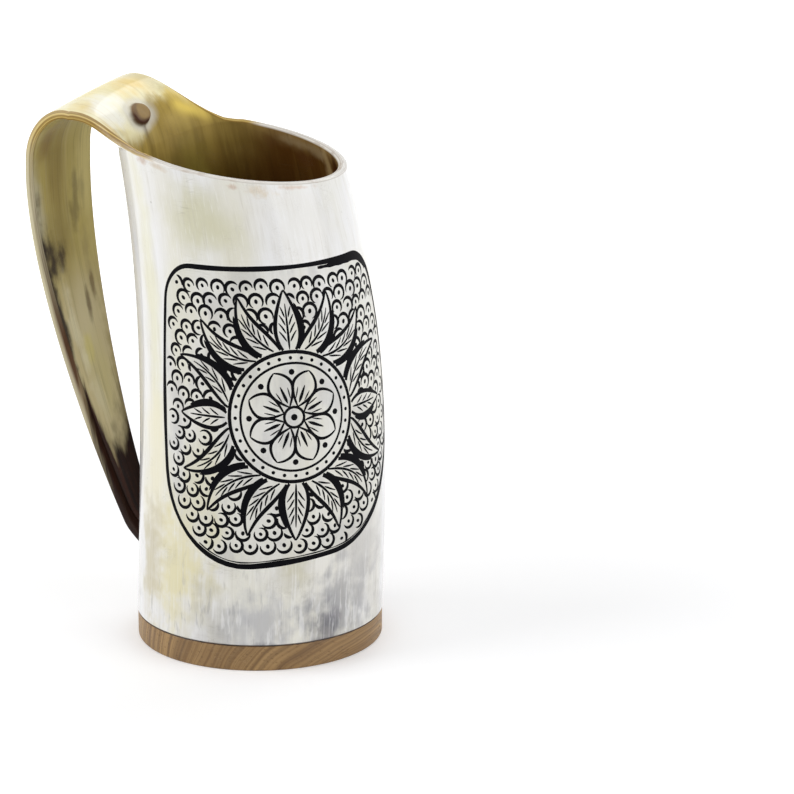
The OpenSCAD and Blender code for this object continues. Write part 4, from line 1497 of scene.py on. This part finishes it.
wall = blend(tree, between(tree, grey_flecks, 0.58, 0.7) * low_down * 0.35, wall, paint(150, 148, 150))
specks = put(tree, "ShaderNodeTexVoronoi", {"Vector": grain, "Scale": 170.0, "Randomness": 1.0})
speckled = between(tree, specks, 0.08, 0.04) * between(tree, mottle(60.0), 0.56, 0.64)
wall = blend(tree, speckled * 0.4, wall, paint(130, 124, 104))
wall = blend(tree, panel * 0.42, wall, paint(214, 213, 202))
wall = blend(tree, panel * between(tree, fray + blotch, 0.98, 1.2) * 0.35, wall, paint(182, 181, 184))
print("outer wall clouds:", len(WALL_CLOUDS) + len(FOOT_CLOUDS_AND_SHADE))

# %% Finish: polished horn, the strap
under = blend(tree, between(tree, broad, 0.35, 0.65), paint(184, 168, 100), paint(160, 142, 76))
under = blend(tree, between(tree, along, 74.0, 108.0) * 0.8, under, paint(206, 194, 156))
under = blend(tree, between(tree, middle_streak, 0.45, 0.7) * 0.3, under, paint(202, 188, 136))
UNDER_SMUDGES_AND_HIGHLIGHT = [
    (0.75, (212, 198, 134), 0.78, 56, 0.34, 30),
    (0.60, (124, 92, 40), -0.62, 42, 0.24, 8),
    (0.45, (140, 118, 62), -0.20, 52, 0.36, 18),
    # This whitish patch on the front edge is partly pale horn, partly a painted highlight of the rounded
    # edge.
    (0.65, (200, 195, 172), -1.00, 66, 0.30, 16),
    (0.50, (132, 116, 72), -0.30, 74, 0.50, 10),
    (0.30, (212, 203, 172), 0.10, 100, 0.60, 12),
    (0.45, (196, 186, 128), 0.20, 124, 0.60, 14)]
UNDER_CLOUDS = [
    (0.55, (96, 82, 50), 0.36, 65, 0.15, 8),
    (0.35, (112, 98, 62), 0.66, 62, 0.10, 7),
    (0.95, (48, 34, 22), -0.70, 81, 0.30, 9),
    (0.90, (54, 38, 24), -0.36, 82, 0.24, 6),
    (0.95, (38, 25, 18), -1.00, 100, 0.22, 34),
    (0.70, (96, 76, 50), 0.33, 99, 0.10, 5),
    (0.70, (102, 82, 54), 0.63, 93, 0.10, 4),
    (0.40, (136, 118, 80), 0.60, 82, 0.20, 12),
    (0.50, (212, 200, 118), -0.10, 114, 0.20, 5),
    (0.80, (218, 210, 176), -0.48, 104, 0.22, 18),
    (0.55, (214, 206, 172), -0.20, 130, 0.30, 10),
    (0.55, (140, 124, 78), 0.95, 124, 0.24, 20)]
under = add_clouds(under, side, along, soft_fray, UNDER_SMUDGES_AND_HIGHLIGHT)
under = add_clouds(under, side, along, ragged, UNDER_CLOUDS)
under = blend(tree, between(tree, fine, 0.5, 0.75) * 0.32, under, paint(104, 88, 50))

strap_top = blend(tree, between(tree, broad, 0.35, 0.68), paint(252, 246, 206), paint(240, 226, 164))
strap_top = blend(tree, between(tree, middle_streak, 0.45, 0.72) * 0.45, strap_top, paint(218, 198, 126))
TOP_CLOUDS_AND_HIGHLIGHTS = [
    (0.80, (240, 208, 112), 0.60, 17, 0.36, 5),
    (0.75, (230, 202, 108), -0.72, 18, 0.26, 4),
    (0.75, (220, 186, 88), -0.90, 9, 0.12, 5),
    (0.55, (204, 196, 156), 0.88, 16, 0.22, 7),
    # This gold patch on the rear ridge crest is partly yellow horn, partly a painted highlight.
    (0.85, (236, 206, 100), 0.90, 5, 0.40, 6),
    (0.65, (244, 222, 120), 0.15, 24, 0.50, 3),
    # This near-white patch is a painted highlight.
    (0.85, (253, 252, 240), -0.48, 14, 0.42, 6),
    (0.40, (216, 194, 130), 0.20, 48, 0.40, 9),
    (0.55, (248, 240, 204), -0.10, 34, 0.60, 7),
    (0.60, (232, 222, 188), -0.35, 66, 0.40, 20),
    (0.60, (168, 140, 96), 0.45, 96, 0.35, 18)]
strap_top = add_clouds(strap_top, side, along, ragged, TOP_CLOUDS_AND_HIGHLIGHTS)
strap_top = blend(tree, between(tree, fine, 0.52, 0.78) * 0.35, strap_top, paint(184, 158, 92))
print("strap clouds:", len(UNDER_SMUDGES_AND_HIGHLIGHT) + len(UNDER_CLOUDS) + len(TOP_CLOUDS_AND_HIGHLIGHTS))

# %% Finish: polished horn, the inside and the root of the strap
inside_colour = blend(tree, between(tree, broad, 0.36, 0.66), paint(120, 96, 38), paint(98, 76, 26))
redder = between(tree, gx + (cloud - 0.5) * 0.03, -0.027, -0.007)
inside_colour = blend(tree, redder * 0.92, inside_colour, paint(86, 52, 20))
inside_streak = between(tree, middle_streak, 0.45, 0.72)
inside_colour = blend(tree, inside_streak * 0.22, inside_colour, paint(138, 108, 50))
lighter = between(tree, along + (soft_fray - 0.5) * 8, -7.0, -0.5)
inside_colour = blend(tree, lighter * 0.4, inside_colour, paint(178, 150, 96))
# Deeper down the inside darkens towards black-brown: painted shade.
deeper_in_shade = between(tree, along + (soft_fray - 0.5) * 20, -6.0, -40.0)
inside_colour = blend(tree, deeper_in_shade * 0.5, inside_colour, paint(46, 28, 9))
INSIDE_CLOUDS = [
    (0.75, (176, 150, 104), 57, -6, 3.5, 8),
    (0.95, (62, 28, 12), 45, -9, 6.5, 12),
    (0.45, (176, 156, 120), 74, -3, 16, 2),
    (0.65, (92, 58, 30), 99, -5, 4, 2),
    (0.65, (92, 58, 30), 77, -8, 6, 3),
    (0.50, (150, 136, 62), 142, -10, 10, 14),
    (0.50, (84, 74, 32), 158, -16, 8, 16)]
inside_colour = add_clouds(inside_colour, turn_round, along, ragged, INSIDE_CLOUDS)
inside_colour = blend(tree, between(tree, fine, 0.52, 0.76) * 0.35, inside_colour, paint(60, 40, 16))

over_bend = between(tree, along, 1.0, 14.0)
outer = blend(tree, over_bend, wall, under)
root_streak = between(tree, broad * 0.4 + middle_streak * 0.6, 0.4, 0.62)
root_colour = blend(tree, root_streak, paint(184, 158, 84), paint(138, 116, 58))
ROOT_CLOUDS_AND_HIGHLIGHT = [
    # This bright gold patch on the rear ridge is partly yellow horn, partly a painted highlight.
    (0.90, (244, 216, 112), 0.84, 4.6, 0.15, 3.4),
    (0.55, (206, 180, 104), 0.62, 3.0, 0.20, 3.0),
    (0.50, (196, 174, 110), 0.20, 4.0, 0.16, 4.0)]
root_colour = add_clouds(root_colour, side, along, soft_fray, ROOT_CLOUDS_AND_HIGHLIGHT)
rearward = side.do("MAXIMUM", 0).do("MINIMUM", 0.5) * 21 - (side - 0.5).do("MAXIMUM", 0) * 14
past_root = along - rearward + (ragged - 0.5) * 8
on_top = between(tree, past_root, -1.0, 5.0)
under_strap = between(tree, turn_round.do("ABSOLUTE") + (cloud - 0.5) * 24, 92.0, 124.0)
inner = blend(tree, between(tree, past_root, -26.0, -1.0) * under_strap, inside_colour, root_colour)
inner = blend(tree, on_top, inner, strap_top)
layers = mottle(120.0, 2.0)
depth = through + (layers - 0.5) * 0.12
inner_skin = between(tree, depth, 0.35, 0.65)
colour = blend(tree, inner_skin, outer, inner)
print("inside and root clouds:", len(INSIDE_CLOUDS) + len(ROOT_CLOUDS_AND_HIGHLIGHT))

# %% Finish: polished horn, sawn edges, dark tip and core pit
# The layers run through the wall, so their noise changes fastest with depth.
layer_place = put(tree, "ShaderNodeCombineXYZ", {"X": depth * 9, "Y": gz * 18, "Z": side * 0.5})
growth = put(tree, "ShaderNodeTexNoise", {"Vector": layer_place, "Scale": 1.0, "Detail": 2.0})
layer_lines = between(tree, growth, 0.36, 0.64)
rim_sawn = blend(tree, layer_lines, paint(238, 235, 228), paint(204, 198, 190))
rim_sawn = blend(tree, between(tree, mottle(150.0), 0.54, 0.66) * 0.6, rim_sawn, paint(182, 164, 148))
gold_sawn = blend(tree, layer_lines, paint(218, 192, 116), paint(140, 104, 46))
# The pale sawn colour is partly the horn's pale layers, partly a painted highlight of the rounded front
# edge.
pale_sawn_and_highlight = blend(tree, layer_lines, paint(190, 180, 152), paint(150, 136, 110))
red_sawn = blend(tree, between(tree, depth, 0.5, 0.8), paint(98, 66, 46), paint(152, 136, 110))
strap_sawn = blend(tree, between(tree, along + (fray - 0.5) * 20, 36.0, 52.0), gold_sawn, pale_sawn_and_highlight)
strap_sawn = blend(tree, between(tree, along + (fray - 0.5) * 20, 80.0, 106.0), strap_sawn, red_sawn)
by_root = between(tree, turn_round.do("ABSOLUTE") + (cloud - 0.5) * 16, 100.0, 110.0)
sawn = blend(tree, by_root, rim_sawn, strap_sawn)
rounded = between(tree, edge, 0.45, 1.0)
colour = blend(tree, rounded * (0.9 - between(tree, along, 30.0, 60.0) * 0.25), colour, sawn)

# Towards the tip the horn is dark all through, along the front edge sooner than behind.
front_first = (side * -1 - 0.6).do("MAXIMUM", 0) * 44
rear_next = (side - 0.3).do("MAXIMUM", 0) * 13
inside_later = depth * (6 + rounded * 16)
uneven = (cloud - 0.5) * 16 + (fray - 0.5) * 44
tip_dark = between(tree, along + front_first + rear_next - inside_later + uneven, 135.0, 151.0)
tip_colour = blend(tree, between(tree, middle_streak, 0.42, 0.7), paint(28, 12, 5), paint(56, 27, 14))
# The rounded edges near the tip are painted darker where the key lamp lights them: painted shade.
tip_colour = blend(tree, rounded * 0.6, tip_colour, paint(20, 9, 5))
colour = blend(tree, tip_dark, colour, tip_colour)

# The core pit: a tan floor in a brown ring, a pale halo round it, a dark channel below.
# The ring is wider on the left and a dark crescent lies along its lower rim: painted shade
# of the recess.
pit, pit_floor, channel = (note_of(tree, n) for n in ("pit", "pit_floor", "channel"))
halo = between(tree, pit + (ragged - 0.5) * 0.2, 0.34, 0.62)
colour = blend(tree, halo * 0.7, colour, paint(224, 221, 212))
pit_ragged = pit + (mottle(220.0) - 0.5) * 0.09
colour = blend(tree, between(tree, pit_ragged, 0.63, 0.69) * 0.9, colour, paint(116, 84, 48))
colour = blend(tree, pit_floor * 0.85, colour, paint(170, 144, 100))
# The channel note also holds the painted shade of the crescent.
colour = blend(tree, channel * 0.9, colour, paint(66, 34, 26))
print("edges, tip and pit painted")

# %% Finish: polished horn, gloss and fine relief
scratch = use_group(tree, scratches, {"Vector": grain, "Scale": 90.0, "Amount": 0.8})
colour = blend(tree, scratch * 0.2, colour, paint(120, 110, 90))
plug(tree, shader.inputs["Base Color"], colour)
rough = 0.3 + (fine - 0.5) * 0.18 + scratch * 0.25 + panel * 0.12 + edge * 0.1 + (hair - 0.5) * 0.1
plug(tree, shader.inputs["Roughness"], rough.do("MAXIMUM", 0.08))
fibres = fine * 0.5 + middle_streak * 0.7 + layers * 0.4 + hair * 0.2
add_relief(tree, shader, fibres - scratch * 0.6, 0.35, 0.00012)
shader.inputs["IOR"].default_value = 1.54
shader.inputs["Specular IOR Level"].default_value = 0.02
shader.inputs["Coat Roughness"].default_value = 0.12
glossy = (1 - inner_skin) * (1 - over_bend) * 0.9 + on_top * inner_skin * 0.6 + 0.06
glossy = glossy * (1 - between(tree, pit, 0.55, 0.66) * 0.9)
plug(tree, shader.inputs["Coat Weight"], glossy * (1 - tip_dark * 0.5) * (1 - panel * 0.6))
print("polished horn:", len(tree.nodes), "nodes")

# %% [markdown]
# The cuts are stained black and filled with a hard black paste that was rubbed off flush,
# so it is matt, slightly sunk and a little grey where dust has caught in it.

# %% Finish: black fill and stained cut walls
for name, low, high in (("black_fill", paint(4, 4, 8), paint(16, 16, 21)),
                        ("inked_groove", paint(9, 9, 11), paint(34, 31, 30))):
    tree, shader = finish_tree(name)
    where = put(tree, "ShaderNodeTexCoord", out="Object")
    dust = put(tree, "ShaderNodeTexNoise", {"Vector": where, "Scale": 900.0, "Detail": 3.0})
    area = put(tree, "ShaderNodeTexNoise", {"Vector": where, "Scale": 90.0, "Detail": 2.0})
    scratch = use_group(tree, scratches, {"Vector": where, "Scale": 160.0, "Amount": 0.6})
    grey = between(tree, dust, 0.5, 0.8) * between(tree, area, 0.4, 0.7)
    plug(tree, shader.inputs["Base Color"], blend(tree, grey * 0.7 + scratch * 0.2, low, high))
    plug(tree, shader.inputs["Roughness"], 0.58 + (dust - 0.5) * 0.3)
    shader.inputs["Specular IOR Level"].default_value = 0.06
    add_relief(tree, shader, dust + area * 0.5, 0.4, 0.00008)
    print(name, len(tree.nodes), "nodes")

# %% [markdown]
# The base is turned from a board of an open-pored hardwood. The turned side cuts across
# the growth rings of the tree: they stand upright near the handle and flow in long slanting
# lines on the other side. Underneath lies the face of the board, golden brown, with pores
# running across it and a small knot. The rings are made as the tree made them, by the
# distance from a heart that lies outside the disc. Inside the cup the same wood is seen wet
# and darker under the poured coat.

# %% Finish: turned wood, and the wood under its coat
BOARD_TURN, HEART_SIDE, HEART_BELOW, RINGS = math.radians(98), 0.052, 0.014, 640
for name in ("turned_wood", "clear_coat"):
    tree, shader = finish_tree(name)
    where = put(tree, "ShaderNodeTexCoord", out="Object")
    facing = split(tree, put(tree, "ShaderNodeNewGeometry", out="Normal"))[2].do("ABSOLUTE")
    flat_face = between(tree, facing, 0.4, 0.8)
    lying = put(tree, "ShaderNodeMapping", {"Vector": where, "Rotation": (0.0, 0.0, BOARD_TURN)})
    lx, ly, lz = split(tree, lying)
    warp = put(tree, "ShaderNodeTexNoise", {"Vector": where, "Scale": 26.0, "Detail": 2.0})
    from_heart = ((ly - HEART_SIDE) ** 2 + (lz + HEART_BELOW) ** 2).do("SQRT")
    from_heart = from_heart + (warp - 0.5) * 0.01 + lx * 0.05
    trunk = put(tree, "ShaderNodeCombineXYZ", {"X": from_heart * RINGS, "Y": lx * 9, "Z": 0.0})
    tone = put(tree, "ShaderNodeTexNoise", {"Vector": trunk, "Scale": 1.0, "Detail": 4.0, "Roughness": 0.6})
    thread = put(tree, "ShaderNodeCombineXYZ", {"X": ly * 1500, "Y": lz * 1500, "Z": lx * 90})
    dash = put(tree, "ShaderNodeTexNoise", {"Vector": thread, "Scale": 1.0, "Detail": 2.0})
    pore = between(tree, dash, 0.58, 0.7)
    ring = put(tree, "ShaderNodeTexNoise", {"Vector": trunk, "Scale": 0.33, "Detail": 1.0})
    late = between(tree, (ring - 0.5).do("ABSOLUTE"), 0.03, 0.0)
    wood = blend(tree, between(tree, tone, 0.36, 0.64), paint(170, 136, 87), paint(124, 93, 53))
    wood = blend(tree, flat_face * 0.35, wood, paint(184, 142, 84))
    wood = blend(tree, between(tree, warp, 0.42, 0.64) * 0.35, wood, paint(108, 78, 44))
    wood = blend(tree, late * (0.4 + flat_face * 0.2), wood, paint(86, 60, 33))
    wood = blend(tree, pore * (0.3 + flat_face * 0.3), wood, paint(74, 50, 26))
    knot = use_group(tree, clouds, {"Across": lx * 1000, "Along": ly * 1000, "Frayed": warp,
                                    "Across at": -9.0, "Along at": 13.0,
                                    "Across reach": 5.5, "Along reach": 4.0})
    wood = blend(tree, knot * flat_face * 0.75, wood, paint(96, 58, 34))
    speck = use_group(tree, scratches, {"Vector": where, "Scale": 140.0, "Amount": 0.5})
    wood = blend(tree, speck * 0.35, wood, paint(196, 168, 126))
    if name == "clear_coat":
        wood = blend(tree, 0.55, wood, paint(92, 58, 26))
        shader.inputs["Coat Weight"].default_value = 1.0
        shader.inputs["Coat Roughness"].default_value = 0.05
    plug(tree, shader.inputs["Base Color"], wood)
    plug(tree, shader.inputs["Roughness"], 0.46 + pore * 0.2 - (tone - 0.5) * 0.2)
    add_relief(tree, shader, tone * 0.5 - pore, 0.5 if name == "turned_wood" else 0.1, 0.00015)
    print(name, len(tree.nodes), "nodes")

# %% Finish: old glue
tree, shader = finish_tree("old_glue")
where = put(tree, "ShaderNodeTexCoord", out="Object")
lump = put(tree, "ShaderNodeTexNoise", {"Vector": where, "Scale": 420.0, "Detail": 3.0})
scratch = use_group(tree, scratches, {"Vector": where, "Scale": 200.0, "Amount": 0.5})
plug(tree, shader.inputs["Base Color"], blend(tree, between(tree, lump, 0.35, 0.7) + scratch * 0.3,
                                              paint(40, 27, 18), paint(92, 66, 42)))
plug(tree, shader.inputs["Roughness"], 0.3 + lump * 0.3)
add_relief(tree, shader, lump, 0.6, 0.0001)
print("old glue:", len(tree.nodes), "nodes")

# %% [markdown]
# Every piece stands for a solid of the CAD model, whose part is hidden, and rides on its
# one body.

# %% Tie the pieces to the frame
for piece, node, slot in ((horn, "horn_body", "horn"), (fill, "panel_ink", "ink"),
                          (base, "wood_base", "wood"), (glue, "base_bond", "bond"),
                          (coat, "inner_seal", "seal"), (pad, "handle_bond", "bond")):
    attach(piece, "root")
    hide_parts(node)
    print(piece.name, "stands for", node)

# %% [markdown]
# The cup stands on a plain pale table in front of a white backdrop, under soft light. The
# camera looks down a little and past the handle, as the photograph does. Rays that
# come from the camera, or mirror or pass through, see white; the light itself stays at a
# plain level so that pale horn doesn't burn out.

# %% Table, backdrop and light
TABLE_HALF, WHITE = 4000, (1, 1, 1, 1)


def seen_by_rays(tree):
    """1 for rays that come from the camera, or that mirror or pass through."""
    path = tree.nodes.new("ShaderNodeLightPath")
    direct, mirrored, passed = (Wire(tree, path.outputs[kind]) for kind in
                                ("Is Camera Ray", "Is Glossy Ray", "Is Transmission Ray"))
    return direct.do("MAXIMUM", mirrored).do("MAXIMUM", passed)


floor = mesh_object("pale_table", [(x * TABLE_HALF, y * TABLE_HALF, 0) for x, y in
                                   ((-1, -1), (1, -1), (1, 1), (-1, 1))], [(0, 1, 2, 3)])
pale = bpy.data.materials.new("pale_table")
pale.use_nodes = True
floor.data.materials.append(pale)
tree, shader = pale.node_tree, pale.node_tree.nodes["Principled BSDF"]
shader.inputs["Base Color"].default_value = (0.82, 0.82, 0.83, 1)
shader.inputs["Roughness"].default_value = 0.6
shader.inputs["Emission Color"].default_value = WHITE
fx, fy = split(tree, put(tree, "ShaderNodeTexCoord", out="Object"))[:2]
far_off = between(tree, (fx ** 2 + fy ** 2).do("SQRT"), 0.1, 0.7)
plug(tree, shader.inputs["Emission Strength"], seen_by_rays(tree) * (0.26 + far_off * 0.5))

world = bpy.data.worlds.new("soft white room")
bpy.context.scene.world = world
world.use_nodes = True
tree = world.node_tree
plug(tree, tree.nodes["Background"].inputs["Strength"], 0.5 + seen_by_rays(tree) * 0.5)
tree.nodes["Background"].inputs["Color"].default_value = WHITE
CUP_MIDDLE = Vector((0, 0, 90)) * MM


def softbox(name, place, power, size):
    lamp = bpy.data.lights.new(name, "AREA")
    lamp.energy, lamp.shape, lamp.size, lamp.size_y = power, "RECTANGLE", size[0], size[1]
    obj = bpy.data.objects.new(name, lamp)
    bpy.context.scene.collection.objects.link(obj)
    obj.location = Vector(place) * MM
    obj.rotation_mode = "QUATERNION"
    obj.rotation_quaternion = (CUP_MIDDLE - obj.location).to_track_quat("-Z", "Y")


softbox("key", (-900, -700, 900), 9.5, (0.9, 0.9))
softbox("fill", (1200, -50, 560), 6.5, (1.1, 1.1))
softbox("back", (100, 900, 900), 2.4, (0.9, 0.5))

# %% Camera at the photograph's angle
AZIMUTH, ELEVATION, DISTANCE = math.radians(27), math.radians(16.6), 1300
FOCAL_PIXELS, IMAGE, ORIGIN_AT, SENSOR = 3950, 794, (260.5, 628.5), 36
right = Vector((math.cos(AZIMUTH), math.sin(AZIMUTH), 0))
ahead = Vector((-math.sin(AZIMUTH) * math.cos(ELEVATION),
                math.cos(AZIMUTH) * math.cos(ELEVATION), -math.sin(ELEVATION)))
above = right.cross(ahead)
off_right = (ORIGIN_AT[0] - IMAGE / 2) / FOCAL_PIXELS * DISTANCE
off_up = -(ORIGIN_AT[1] - IMAGE / 2) / FOCAL_PIXELS * DISTANCE
lens = bpy.data.cameras.new("camera")
lens.sensor_width, lens.lens = SENSOR, SENSOR * FOCAL_PIXELS / IMAGE
lens.clip_start, lens.clip_end = 0.05, 50
camera = bpy.data.objects.new("camera", lens)
bpy.context.scene.collection.objects.link(camera)
bpy.context.scene.camera = camera
camera.matrix_world = Matrix((right, above, -ahead)).transposed().to_4x4()
camera.location = -(right * off_right + above * off_up + ahead * DISTANCE) * MM
bpy.context.scene.view_settings.view_transform = "Standard"
print("camera at, mm:", [round(v * 1000) for v in camera.location], "lens", round(lens.lens, 1))

# %% Update the scene
bpy.context.view_layer.update()
